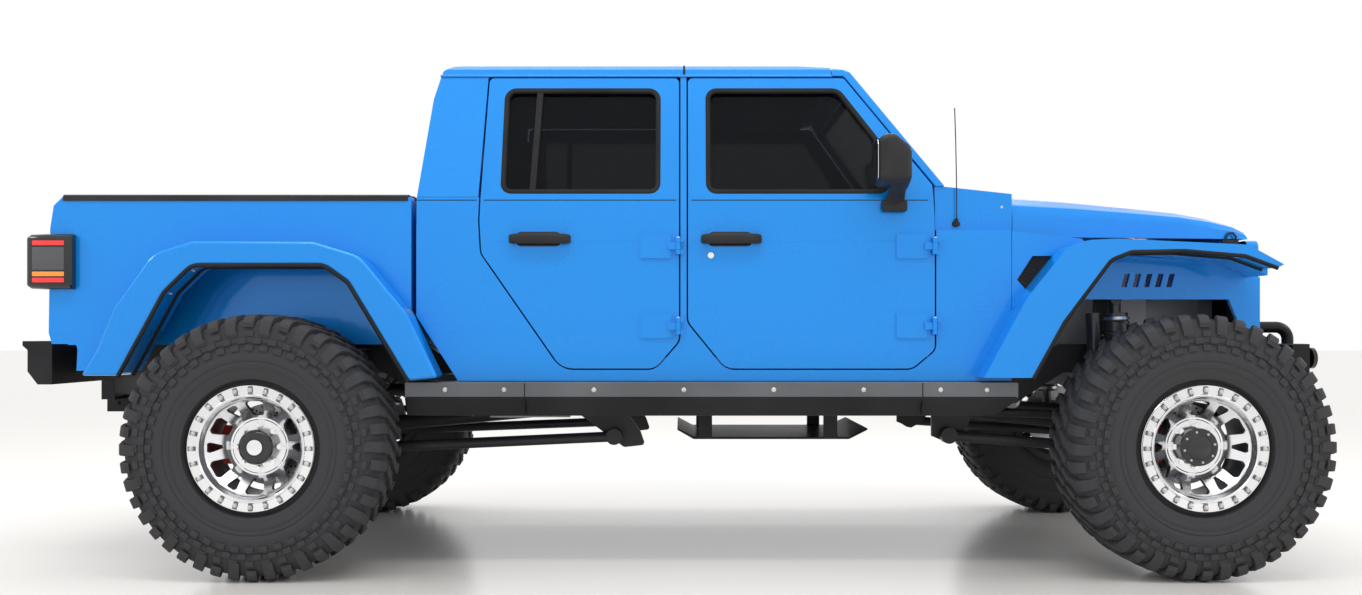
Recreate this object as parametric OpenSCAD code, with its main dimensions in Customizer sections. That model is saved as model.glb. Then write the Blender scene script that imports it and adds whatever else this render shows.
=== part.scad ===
// Lifted off-road pickup with a crew cab, solid axles and beadlock wheels.
// +X points forwards, +Y to the vehicle's left, +Z up. Millimetres.
// The origin lies on the floor, midway between the two bumpers.

/* [Length] */
// Front axle to the rear edge of the hood
dash_to_axle = 638; // [560:1:700]
// Rear edge of the hood to the front edge of the front door
cowl_l = 323; // [260:1:400]
// Length of the front door, to the middle of the centre pillar
front_door_l = 993; // [820:1:1200]
// Length of the rear door, from the middle of the centre pillar
rear_door_l = 807; // [680:1:970]
// Cab panel behind the rear door
quarter_l = 249; // [200:1:310]
// Back of the cab to the rear axle
cab_to_axle = 566; // [530:1:690]
// Rear axle to the tailgate
rear_overhang = 887; // [800:1:1060]
// Gap between the cab and the bed
cab_bed_gap = 20; // [10:1:30]
// Rear axle to the back of the rear bumper
bumper_reach_r = 1012; // [1000:1:1200]
// Front axle to the front of the front bumper
bumper_reach_f = 682; // [660:1:800]

/* [Width] */
// Width of the cab and bed over their sides
body_w = 1600; // [1500:1:1920]
// How far each wheel flare stands out from the body
flare_out = 137; // [110:1:165]
// Distance between the middles of two tyres on one axle
track = 1807; // [1750:1:1900]
// Thickness of the cab's sides and doors
wall_t = 60; // [50:1:72]
// How far the cab side leans in from the belt line to the roof
lean = 120; // [90:1:144]

/* [Height] */
// Bottom of the cab's sides
sill_z = 748; // [740:1:800]
// Height of the cab's sides up to the belt line
side_h = 727; // [700:1:870]
// Belt line to the roof's edge
glass_h = 501; // [430:1:600]
// Rise of the roof over its edge
roof_rise = 64; // [50:1:76]
// Load floor to the top of the bed's sides
bed_depth = 545; // [500:1:600]

/* [Wheels] */
// Diameter of the tyre
tyre_d = 1008; // [950:1:1060]
// Width of the tyre
tyre_w = 343; // [300:1:360]
// Diameter of the tyre's bead seat
rim_d = 436; // [400:1:460]
// Diameter of the outer clamp ring
ring_d = 479; // [470:1:500]
// Number of windows in the wheel's face
window_count = 6; // [5:1:8]
// Number of wheel bolts
lug_count = 8; // [5:1:8]
// Diameter of the wheel bolts' circle
lug_pcd = 165; // [140:1:170]

/* [Running gear] */
// Half the distance between the frame rails' outer faces
rail_out = 430; // [400:1:440]
// Width of a frame rail
rail_w = 70; // [60:1:84]
// Height of a frame rail
rail_h = 120; // [100:1:140]
// Height of the rails' underside between the axles
rail_z = 640; // [630:1:660]
// How much the rails rise over the axles
rail_kick = 130; // [110:1:150]
// Radius of the axle tubes
axle_r = 42; // [35:1:50]
// Distance of each steering pivot from the middle
kingpin_y = 690; // [670:1:700]
// Length of the steering arms
steer_arm = 190; // [180:1:200]

/* [Gaps] */
// Gap around the doors, hood and tailgate
door_gap = 6; // [5:1:8]
// Gap around each pane of glass
glass_gap = 0.3; // [0.2:0.1:0.5]
// Radial clearance of a pin in its bore
pin_gap = 0.05; // [0.02:0.01:0.1]

/* [Hidden] */
$fn = 64;
hw = body_w / 2;
belt_z = sill_z + side_h;
eave_z = belt_z + glass_h;
axle_z = tyre_d / 2;
tyre_y = track / 2;

// Stations along the vehicle, from the middle of the two bumper ends
span = bumper_reach_f + dash_to_axle + cowl_l + front_door_l + rear_door_l
     + quarter_l + cab_to_axle + bumper_reach_r;
axle_f = span / 2 - bumper_reach_f;
cab_front = axle_f - dash_to_axle;
fd_front = cab_front - cowl_l;
pillar_x = fd_front - front_door_l;
rd_rear = pillar_x - rear_door_l;
cab_rear = rd_rear - quarter_l;
axle_r_x = cab_rear - cab_to_axle;
bed_front = cab_rear - cab_bed_gap;
bed_rear = axle_r_x - rear_overhang;
post_half = 18;

// Colours
blue = [0.07, 0.42, 0.86];
black = [0.08, 0.08, 0.09];
steel = [0.45, 0.46, 0.48];
bright = [0.78, 0.79, 0.81];
tint = [0.1, 0.12, 0.13, 0.6];
red = [0.75, 0.05, 0.06];
right = -1;
left = 1;

// ---------------------------------------------------------------- outlines

function unit(v) = v / norm(v);
function area2(p) =
  let (n = len(p)) [for (i = [0:n - 1]) p[i][0] * p[(i + 1) % n][1] - p[(i + 1) % n][0] * p[i][1]]
    * [for (i = [0:n - 1]) 1];

// An outline's rows [x, z, corner radius] moved outwards by d
function grow(rows, d) =
  let (n = len(rows), s = sign(area2(rows)))
  [for (i = [0:n - 1])
    let (
      a = rows[(i + n - 1) % n], b = rows[i], c = rows[(i + 1) % n],
      u = unit([b[0] - a[0], b[1] - a[1]]),
      v = unit([c[0] - b[0], c[1] - b[1]]),
      side_u = [u[1], -u[0]],
      side_v = [v[1], -v[0]],
      m = (side_u + side_v) / (1 + side_u * side_v)
    )
    [b[0] + s * d * m[0], b[1] + s * d * m[1], max(b[2] + d, 0)]];

function corner(a, b, c, r, n) =
  r <= 0 ? [b] :
  let (
    u = unit(a - b), v = unit(c - b),
    half = acos(u * v) / 2,
    centre = b + unit(u + v) * r / sin(half),
    p = b + u * r / tan(half) - centre,
    q = b + v * r / tan(half) - centre,
    a0 = atan2(p[1], p[0]),
    turn = atan2(p[0] * q[1] - p[1] * q[0], p * q)
  )
  [for (i = [0:n]) centre + r * [cos(a0 + turn * i / n), sin(a0 + turn * i / n)]];

// Points of an outline whose rows are [x, z, corner radius]
function rounded(rows, n = 5) =
  let (c = len(rows), p = [for (r = rows) [r[0], r[1]]])
  [for (i = [0:c - 1]) each corner(p[(i + c - 1) % c], p[i], p[(i + 1) % c], rows[i][2], n)];

// Plate from a side outline (x, z), between y0 and y1
module side_plate(points, y0, y1)
  translate([0, y1, 0]) rotate([90, 0, 0]) linear_extrude(y1 - y0) polygon(points);

// Bar from a cross-section (y, z), between x0 and x1
module cross_bar(points, x0, x1)
  translate([x0, 0, 0]) rotate([90, 0, 90]) linear_extrude(x1 - x0) polygon(points);

// Plate from a plan outline (x, y), between z0 and z1
module plan_plate(points, z0, z1)
  translate([0, 0, z0]) linear_extrude(z1 - z0) polygon(points);

// Box from its lowest to its highest corner
module box(low, high) translate(low) cube(high - low);

// Rod of radius r from point a to point b
module rod(a, b, r) {
  d = b - a;
  translate(a)
    rotate([0, acos(d[2] / norm(d)), atan2(d[1], d[0])])
      cylinder(h = norm(d), r = r);
}

// Eye across the vehicle, at y, of the given width
module eye(x, y, z, w, r) translate([x, y + w / 2, z]) rotate([90, 0, 0]) cylinder(h = w, r = r);

// The shape is drawn for the right side, and mirrored for the left
module on(side) {
  if (side < 0) children();
  else mirror([0, 1, 0]) children();
}

module both() {
  children();
  mirror([0, 1, 0]) children();
}

// ---------------------------------------------------------------- cab side

// The cab's outer side: [height, inset from the widest place]
CAB_SIDE = [[sill_z, 0], [belt_z - 175, 0], [belt_z, 8], [eave_z, 8 + lean]];

// Half section of the cab's side wall, from depth t0 to depth t1
function side_section(t0, t1) = concat(
  [for (r = CAB_SIDE) [-(hw - r[1] - t0), r[0]]],
  [for (i = [len(CAB_SIDE) - 1:-1:0]) [-(hw - CAB_SIDE[i][1] - t1), CAB_SIDE[i][0]]]
);

// Both sides of the cab's outer section as one closed outline, d inside it
function cab_section(d) = concat(
  [for (r = CAB_SIDE) [-(hw - r[1] - d), r[0]]],
  [for (i = [len(CAB_SIDE) - 1:-1:0]) [hw - CAB_SIDE[i][1] - d, CAB_SIDE[i][0]]]
);

// Windshield: a leaning band along the line from its foot to its head, [x, z]
shield_foot = [fd_front + 41, belt_z + 50];
shield_head = [fd_front - 318, eave_z + 22];
shield_dir = unit(shield_head - shield_foot);
pillar_t = 32;
shield_back = fd_front - 392;
cowl_top = belt_z + 44;

// Point on the windshield's outer line at height z, at depth d behind it
function shield_at(z, d) =
  let (k = (z - shield_foot[1]) / shield_dir[1], n = d / shield_dir[1])
  [shield_foot[0] + shield_dir[0] * k - n, z];

// Door outlines: [x, z, corner radius]
door_low = sill_z + 49;
door_top = eave_z - 6;
fd_rear = pillar_x + post_half;
rd_front = pillar_x - post_half;
slant_gap = door_gap / shield_dir[1];
FRONT_DOOR = [
  [fd_rear, door_top, 20], [fd_rear, door_low + 185, 50], [fd_rear + 150, door_low, 70],
  [fd_front - 90, door_low, 60], [fd_front, door_low + 75, 40], [fd_front, belt_z - 80, 40],
  [shield_at(belt_z + 50, pillar_t)[0] - slant_gap, belt_z + 50, 10],
  [shield_at(door_top, pillar_t)[0] - slant_gap, door_top, 24]
];
REAR_DOOR = [
  [rd_rear + 23, door_top, 20], [rd_rear, belt_z - 95, 10], [rd_rear + 8, belt_z - 222, 50],
  [rd_rear + 325, door_low, 90], [rd_front - 95, door_low, 60], [rd_front, door_low + 110, 50],
  [rd_front, door_top, 20]
];
// Window outlines: [x, z, corner radius]
glass_low = belt_z + 28;
glass_top = eave_z - 63;
FRONT_WINDOW = [
  [fd_rear + 85, glass_low, 28], [fd_rear + 85, glass_top, 30], [fd_front - 372, glass_top, 45],
  [fd_front - 228, eave_z - 262, 30], [fd_front - 182, glass_low, 30]
];
REAR_WINDOW = [
  [rd_rear + 95, glass_low, 28], [rd_rear + 100, glass_top, 34],
  [rd_front - 88, glass_top, 34], [rd_front - 88, glass_low, 28]
];
hinge_r = 11;
hinge_out = 20;
hinge_y = -(hw + hinge_out);
HINGE_Z = [belt_z - 195, belt_z - 510];
hinge_h = 60;
knuckle_h = 28;
hinge_pin_r = 5;
strap_l = 150;

module hinge_axis_parts(x, on_door) {
  for (z = HINGE_Z) translate([x, hinge_y, z]) {
    if (on_door) {
      difference() {
        union() {
          translate([0, 0, -knuckle_h / 2]) cylinder(h = knuckle_h, r = hinge_r);
          box([-40, 0, -knuckle_h / 2], [0, hinge_out, knuckle_h / 2]);
          box([-strap_l, hinge_out - 8, -48], [-28, hinge_out, 48]);
        }
        translate([0, 0, -hinge_h]) cylinder(h = 2 * hinge_h, r = hinge_pin_r + pin_gap);
      }
    } else {
      for (s = [-1, 1]) translate([0, 0, s * (knuckle_h / 2 + 1 + 9)]) {
        translate([0, 0, -9]) cylinder(h = 18, r = hinge_r);
        box([0, -4, -9], [post_half + 4, 4, 9]);
        box([post_half - 8, -4, -9], [post_half + 4, hinge_out, 9]);
      }
      translate([0, 0, -knuckle_h / 2 - 10]) cylinder(h = knuckle_h + 20, r = hinge_pin_r);
    }
  }
}

fd_hinge_x = fd_front - 3;
rd_hinge_x = rd_front - 3;

module door(outline, window, hinge_x) {
  difference() {
    intersection() {
      side_plate(rounded(outline), -hw - 1, 0);
      cross_bar(side_section(0, wall_t), cab_rear, cab_front);
    }
    side_plate(rounded(window), -hw - 2, 0);
    for (z = HINGE_Z)
      translate([hinge_x, hinge_y, z - hinge_h / 2 - 8])
        cylinder(h = hinge_h + 16, r = hinge_r + 12);
  }
  hinge_axis_parts(hinge_x, true);
}

module pane(window) {
  intersection() {
    side_plate(rounded(grow(window, -glass_gap)), -hw - 1, 0);
    cross_bar(side_section(22, 28), cab_rear, cab_front);
  }
}

module mirror_unit() {
  base_x = fd_front - 215;
  low = belt_z - 62;
  head_y = -(hw + 175);
  translate([base_x, 0, 0]) {
    difference() {
      box([0, -(hw + 50), low], [108, -hw + 12, low + 55]);
      cross_bar(side_section(-0.3, wall_t), -1, 110);
    }
    box([10, head_y, low + 55], [98, -(hw + 10), low + 95]);
    side_plate(rounded([
      [-42, low + 90, 30], [-42, low + 285, 40], [28, low + 292, 40],
      [98, low + 235, 50], [98, low + 90, 30]
    ]), head_y - 45, -(hw + 5));
  }
}

// ---------------------------------------------------------------- frame and running gear

kick_l = 200;
bumper_deep = 130;
kick_f = axle_f - 540;
kick_r = cab_rear - 15;
frame_front = axle_f + bumper_reach_f - bumper_deep;
bumper_r = axle_r_x - bumper_reach_r;
bumper_deep_r = 118;
frame_rear = bumper_r + bumper_deep_r + 0.3;
rail_mid_y = rail_out - rail_w / 2;
rail_in = rail_out - rail_w;

function rail_line(z) = [
  [frame_rear, z + rail_kick], [kick_r - kick_l, z + rail_kick], [kick_r, z],
  [kick_f, z], [kick_f + kick_l, z + rail_kick], [frame_front, z + rail_kick]
];
function reversed(p) = [for (i = [len(p) - 1:-1:0]) p[i]];

box_x = axle_f;
pitman_z = 690;
kick_z = rail_z + rail_kick;
rail_top = kick_z + rail_h;
engine_hw = 300;
link_eye_y = 326;
shaft_r = 16;

module frame_rails() {
  color(black) {
    both() side_plate(concat(rail_line(rail_z), reversed(rail_line(rail_z + rail_h))),
      -rail_out, -rail_out + rail_w);
    // Body mounts and the outriggers that carry the rocker guards
    both() for (x = [cab_rear + 260, pillar_x + 30, fd_front - 60]) {
      box([x - 40, -hw + 70.3, rail_z + 20], [x + 40, -rail_out + 1, rail_z + 80]);
      box([x - 35, -rail_out - 70, rail_z + 79], [x + 35, -rail_out + 30, floor_z - floor_t]);
    }
    // Bed mounts
    both() for (x = [bed_front - 120, bed_rear + 180])
      box([x - 40, -rail_out, rail_z + rail_kick + rail_h - 1],
          [x + 40, -rail_out + rail_w, bed_floor_z - 40]);
    // Coilover towers: [x, height of the seat]
    both() for (c = [coil_f_top, coil_r_top]) {
      box([c[0] - 55, -coil_top_y - 58, c[1] + 24.3], [c[0] + 55, -rail_out + 30, c[1] + 36]);
      if (c[1] > rail_top)
        box([c[0] - 55, -rail_out, rail_top - 1], [c[0] + 55, -rail_out + 30, c[1] + 25]);
    }
    // Engine mounts
    both() box([axle_f - 320, -rail_in - 1, kick_z + 5], [axle_f - 250, -engine_hw - 0.3, kick_z + 60]);
    // Ears of the upper links
    both() for (c = [[axle_f - 700, 600], [axle_r_x + 700, 700]])
      side_plate([
        [c[0] - 45, rail_z + 90], [c[0] - 30, c[1] - 34],
        [c[0] + 30, c[1] - 34], [c[0] + 45, rail_z + 90]
      ], -rail_in - 1, -link_eye_y - 26);
    // Rear link brackets
    both() side_plate(rounded([
      [axle_r_x + 1190, 585, 8], [axle_r_x + 1370, 452, 20], [axle_r_x + 1460, 462, 12],
      [axle_r_x + 1440, 520, 20], [axle_r_x + 1390, 590, 8], [axle_r_x + 1390, rail_z + 1, 0],
      [axle_r_x + 1190, rail_z + 1, 0]
    ]), -rail_out, -rail_out + 14);
    // Front link brackets
    both() side_plate([
      [axle_f - 900, rail_z + 1], [axle_f - 900, 500], [axle_f - 830, 470],
      [axle_f - 770, 500], [axle_f - 700, rail_z + 1]
    ], -rail_out, -rail_out + 14);
    // Steering box and its output shaft
    box([box_x - 70, rail_out - rail_w - 10, rail_z + 75],
      [box_x + 70, rail_out - 8, rail_z + rail_kick + 5]);
    translate([box_x, rail_mid_y, pitman_z - 14]) cylinder(h = 60, r = shaft_r);
  }
}

module cross_members() {
  // [x, height of the middle, radius]
  color(black)
    for (c = [
      [frame_front - 60, rail_z + rail_kick + 60, 38],
      [axle_f + 330, rail_z + rail_kick + 60, 34],
      [case_x - 245, rail_z + 95, 22],
      [cab_rear + 30, rail_z + 100, 20],
      [axle_r_x + 330, rail_z + rail_kick + 60, 38],
      [frame_rear + 120, rail_z + rail_kick + 60, 34]
    ]) rod([c[0], -rail_in + 0.3, c[1]], [c[0], rail_in - 0.3, c[1]], c[2]);
}

module engine_block() {
  color(steel) {
    box([axle_f - 560, -engine_hw, rail_z + 75], [axle_f + 60, engine_hw, belt_z - 260]);
    box([axle_f - 520, -200, belt_z - 261], [axle_f + 20, 200, belt_z - 215]);
    translate([axle_f + 59, 0, 900]) rotate([0, 90, 0]) cylinder(h = 50, r = 95);
  }
}

case_x = axle_f - 1640;
module gearbox() {
  color(steel) {
    box([axle_f - 600, -110, 600], [axle_f - 560.3, 110, 790]);
    rod([axle_f - 599, 0, 690], [axle_f - 760, 0, 690], 100);
    rod([axle_f - 759, 0, 680], [case_x + 200, 0, 670], 92);
    box([case_x, -110, 570], [case_x + 201, 270, 765]);
    rod([case_x - 60, 0, 670], [case_x + 1, 0, 670], 55);
    rod([case_x + 200, 210, 640], [case_x + 250, 210, 640], 45);
  }
}

module drive_shafts() {
  // Each shaft: [first flange x, y, z, second flange x, z, tube radius]
  color(black) for (c = [
    [case_x + 250.3, 210, 640, axle_f - 160.3, axle_z + 10, 28],
    [axle_r_x + 170.3, 0, axle_z + 10, case_x - 60.3, 670, 34]
  ]) {
    rod([c[0], c[1], c[2]], [c[0] + 32, c[1], c[2]], 42);
    rod([c[0] + 20, c[1], c[2]], [c[3] - 20, c[1], c[4]], c[5]);
    rod([c[3] - 32, c[1], c[4]], [c[3], c[1], c[4]], 42);
  }
}

pipe_r = 32;
pipe_y = -215;
muffler_x = pillar_x - 500;
module exhaust() {
  color(steel) {
    rod([axle_f - 500, pipe_y, 640], [axle_f - 500, pipe_y, rail_z + 74.7], pipe_r);
    translate([axle_f - 500, pipe_y, 640]) sphere(r = pipe_r + 4);
    rod([axle_f - 500, pipe_y, 640], [muffler_x - 20, pipe_y, 640], pipe_r);
    rod([muffler_x, pipe_y, 640], [muffler_x - 350, pipe_y, 640], 76);
    rod([muffler_x - 340, pipe_y, 640], [muffler_x - 440, pipe_y - 20, 600], pipe_r);
  }
}

module fuel_tank() {
  color(black)
    side_plate(rounded([
      [pillar_x - 160, 600, 30], [pillar_x - 160, 775, 30],
      [cab_rear + 200, 775, 30], [cab_rear + 200, 600, 30]
    ]), 60, rail_in - 0.3);
}

guard_out = 75;
guard_z = sill_z - 2;
guard_rear = cab_rear - 30;
guard_front = cab_front - 12;
skid_front = case_x + 480;
skid_rear = case_x - 340;

module armour() {
  color(black) {
    // Rocker guards
    both() difference() {
      cross_bar([
        [-hw + 70, guard_z], [-hw - guard_out, guard_z], [-hw - guard_out, guard_z - 64],
        [-hw - 30, guard_z - 134], [-hw + 20, guard_z - 134], [-hw + 70, guard_z - 90]
      ], guard_rear, guard_front);
      side_plate([
        [guard_front + 1, guard_z - 136], [guard_front + 1, guard_z - 70],
          [guard_front - 90, guard_z - 136]
      ], -hw - 100, -hw + 100);
    }
    // Belly plate and the four legs that hang it from the rails
    side_plate([
      [skid_rear, 520], [skid_rear + 70, 480], [skid_front - 80, 480], [skid_front, 520],
      [skid_front, 528], [skid_front - 82, 490], [skid_rear + 72, 490], [skid_rear, 528]
    ], -rail_in, rail_in);
    both() for (x = [skid_rear + 120, skid_front - 160])
      box([x - 30, -rail_in, 488], [x + 30, -rail_in + 18, rail_z + 20]);
  }
}

ear_z = 78;
ear_t = 24;
kingpin_r = 14;

module axle_brackets(x, link_dx, coil_dx, upper) {
  both() {
    // Upper link ears
    for (y = [-upper[1] - 42, -upper[1] + 32.3])
      side_plate([
        [upper[0] - 45, axle_z], [upper[0] - 30, axle_z + upper[2] + 30],
        [upper[0] + 30, axle_z + upper[2] + 30], [upper[0] + 45, axle_z]
      ], y, y + 9.7);
    // Lower link ears
    for (y = [-560, -494])
      side_plate(rounded([
        [x + link_dx - 45, axle_z + 10, 0], [x + link_dx - 45, axle_z - 80, 20],
        [x + link_dx + 45, axle_z - 80, 20], [x + link_dx + 45, axle_z + 10, 0]
      ]), y, y + 10);
    box([x + min(link_dx, 0) - 20, -560, axle_z - 20], [x + max(link_dx, 0) + 20, -490, axle_z + 20]);
    // Coilover seats
    box([x + min(coil_dx, 0) - 30, -coil_low_y - 34, axle_z - 6],
        [x + max(coil_dx, 0) + 30, -coil_low_y + 34, axle_z + 26]);
  }
}

module front_axle() {
  color(black) difference() {
    union() {
      rod([axle_f, -610, axle_z], [axle_f, 610, axle_z], axle_r);
      translate([axle_f - 15, 210, axle_z]) housing(125, 190);
      rod([axle_f - 160, 210, axle_z + 10], [axle_f, 210, axle_z + 10], 58);
      axle_brackets(axle_f, -70, coil_f_low[0] - axle_f, UPPER[0]);
      both() {
        box([axle_f - 45, -kingpin_y + 52, axle_z - ear_z - ear_t],
          [axle_f + 45, -600, axle_z + ear_z + ear_t]);
        for (s = [-1, 1]) {
          z = s < 0 ? axle_z - ear_z - ear_t : axle_z + ear_z;
          box([axle_f - 32, -kingpin_y, z], [axle_f + 32, -kingpin_y + 60, z + ear_t]);
          translate([axle_f, -kingpin_y, z]) cylinder(h = ear_t, r = 32);
        }
      }
      // Track bar mount
      box([axle_f + 30, -480, axle_z - 10], [axle_f + 90, -430, axle_z + 120]);
    }
    both() translate([axle_f, -kingpin_y, 0])
      cylinder(h = 2 * axle_z, r = kingpin_r + pin_gap);
  }
}

// Rounded differential housing: a short drum across the axle
module housing(r, w)
  translate([0, w / 2, 0]) rotate([90, 0, 0]) cylinder(h = w, r = r);

spindle_r = 32;
hub_in = kingpin_y + 62;

module rear_axle() {
  color(black) {
    rod([axle_r_x, -hub_in, axle_z], [axle_r_x, hub_in, axle_z], axle_r + 4);
    translate([axle_r_x + 15, 0, axle_z]) housing(135, 220);
    rod([axle_r_x, 0, axle_z + 10], [axle_r_x + 170, 0, axle_z + 10], 62);
    axle_brackets(axle_r_x, 70, coil_r_low[0] - axle_r_x, UPPER[1]);
    both() rod([axle_r_x, -hub_in + 1, axle_z], [axle_r_x, -hub_face, axle_z], spindle_r);
  }
  color(red) both() caliper(axle_r_x, -1);
}

// Brake caliper round the disc's edge, with its arm to the axle's end
module caliper(x, dir) {
  translate([x, 0, axle_z]) difference() {
    union() {
      rotate([0, dir * 90, 0]) rotate([90, 0, 0]) translate([0, 0, disc_y - 40])
        intersection() {
          difference() {
            cylinder(h = 82, r = disc_r + 18);
            translate([0, 0, -1]) cylinder(h = 84, r = 118);
          }
          translate([-75, 90, -1]) cube([150, 120, 84]);
        }
      box([dir > 0 ? 30 : -150, -disc_y + 18, -32], [dir > 0 ? 150 : -30, -disc_y + 40, 32]);
      rotate([90, 0, 0]) translate([0, 0, hub_in - 12]) cylinder(h = disc_y - 18 - hub_in + 12, r = 80);
    }
    rotate([90, 0, 0]) translate([0, 0, disc_y - 16]) cylinder(h = 32, r = disc_r + 6);
    rotate([90, 0, 0]) translate([0, 0, hub_in]) cylinder(h = 300, r = spindle_r + 34);
  }
}

// Coilovers: the seat on the axle and the top eye, [x, z]
coil_f_low = [axle_f - 130, axle_z + 26.3];
coil_f_top = [axle_f - 150, rail_z + rail_kick + rail_h + 190];
coil_r_low = [axle_r_x + 120, axle_z + 26.3];
coil_r_top = [axle_r_x + 250, rail_z + rail_kick + rail_h - 50];
coil_low_y = 520;
coil_top_y = 505;

module coilover(low, top) {
  a = [low[0], -coil_low_y, low[1] + 30];
  b = [top[0], -coil_top_y, top[1]];
  up = unit(b - a);
  rod(a, b, 22);
  rod(a + up * 90, b - up * 60, 52);
  eye(low[0], -coil_low_y, low[1] + 24, 60, 24);
  eye(top[0], -coil_top_y, top[1], 60, 24);
  // Remote reservoir and its clamp
  r0 = b - up * 250 + (low[0] < 0 ? [75, -70, 0] : [-92, 0, 0]);
  rod(r0, r0 + up * 190, 31);
  rod(r0 + up * 95, b - up * 155, 14);
}

module coilovers() {
  color(bright) both() {
    coilover(coil_f_low, coil_f_top);
    coilover(coil_r_low, coil_r_top);
  }
}

link_low_y = 522;
eye_z = axle_z - 56;
// Upper links: [axle eye x, y, height over the axle, frame eye x, height]
UPPER = [[axle_f - 20, 400, 70, axle_f - 700, 600], [axle_r_x + 30, 170, 160, axle_r_x + 700, 700]];

module suspension_links() {
  color(black) both() {
    // Lower links: [axle eye x, frame eye x, frame eye z]
    for (c = [[axle_f - 70, axle_f - 835, 505], [axle_r_x + 70, axle_r_x + 1330, 500]]) {
      frame_y = -rail_out - 28;
      rod([c[0], -link_low_y, eye_z], [c[1], frame_y, c[2]], 22);
      eye(c[0], -link_low_y, eye_z, 55.4, 34);
      eye(c[1], frame_y, c[2], 55.4, 34);
    }
    for (c = UPPER) {
      rod([c[0], -c[1], axle_z + c[2]], [c[3], -link_eye_y, c[4]], 19);
      eye(c[0], -c[1], axle_z + c[2], 64, 28);
      eye(c[3], -link_eye_y, c[4], 51.4, 28);
    }
  }
}

// ---------------------------------------------------------------- steering

module knuckle(side) {
  on(side) {
    color(black) difference() {
      union() {
        translate([axle_f, -kingpin_y, axle_z - ear_z + 1]) cylinder(h = 2 * ear_z - 2, r = 42);
        translate([axle_f, -kingpin_y, axle_z - ear_z - ear_t])
          cylinder(h = 2 * (ear_z + ear_t), r = kingpin_r);
        rod([axle_f, -kingpin_y, axle_z], [axle_f, -hub_face, axle_z], spindle_r);
        rod([axle_f, -kingpin_y, axle_z], [axle_f, -hub_in, axle_z], 58);
        // Steering arm, with the eye for the tie rod
        box([axle_f, -kingpin_y - 18, axle_z + 40], [axle_f + steer_arm, -kingpin_y + 18, axle_z + 62]);
        translate([axle_f + steer_arm, -kingpin_y, axle_z + 40]) cylinder(h = 22, r = 26);
      }
      translate([axle_f + steer_arm, -kingpin_y, axle_z]) cylinder(h = 200, r = ball_r + pin_gap);
    }
    color(red) caliper(axle_f, -1);
  }
}

ball_r = 9;
tie_z = axle_z + 85;
drag_z = tie_z + 40;

module tie_rod() {
  color(black) {
    rod([axle_f + steer_arm, -kingpin_y, tie_z], [axle_f + steer_arm, kingpin_y, tie_z], 17);
    both() {
      translate([axle_f + steer_arm, -kingpin_y, tie_z - 20]) cylinder(h = 38, r = 22);
      translate([axle_f + steer_arm, -kingpin_y, axle_z + 40]) cylinder(h = 40, r = ball_r);
    }
    // Drag link, on the right-hand joint
    translate([axle_f + steer_arm, -kingpin_y, tie_z]) cylinder(h = 62, r = 20);
    rod([axle_f + steer_arm, -kingpin_y, drag_z], [axle_f + steer_arm, rail_mid_y, pitman_z - 38], 16);
    translate([axle_f + steer_arm, rail_mid_y, pitman_z - 56]) cylinder(h = 37, r = 20);
    translate([axle_f + steer_arm, rail_mid_y, pitman_z - 40]) cylinder(h = 40, r = ball_r);
  }
}

module pitman_arm() {
  color(steel) difference() {
    union() {
      box([box_x, rail_mid_y - 18, pitman_z - 18], [box_x + steer_arm, rail_mid_y + 18, pitman_z + 2]);
      translate([box_x, rail_mid_y, pitman_z - 18]) cylinder(h = 20, r = 32);
      translate([box_x + steer_arm, rail_mid_y, pitman_z - 18]) cylinder(h = 20, r = 24);
    }
    translate([box_x, rail_mid_y, pitman_z - 40]) cylinder(h = 80, r = shaft_r + pin_gap);
    translate([box_x + steer_arm, rail_mid_y, pitman_z - 60]) cylinder(h = 80, r = ball_r + pin_gap);
  }
}

// ---------------------------------------------------------------- wheels

ring_y = tyre_y + tyre_w / 2 - 16;
barrel_in = tyre_y - tyre_w / 2 + 45;
hub_face = tyre_y + 22;
disc_y = tyre_y - 62;
rim_r = rim_d / 2;
disc_r = 158;
cap_r = 66;

// Solid of revolution about the wheel's axle, from rows [distance along the axle, radius]
module turned(x, side, rows)
  translate([x, 0, axle_z]) rotate([side < 0 ? 90 : -90, 0, 0])
    rotate_extrude($fn = 128) polygon([for (r = rows) [r[1], r[0]]]);

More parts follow.
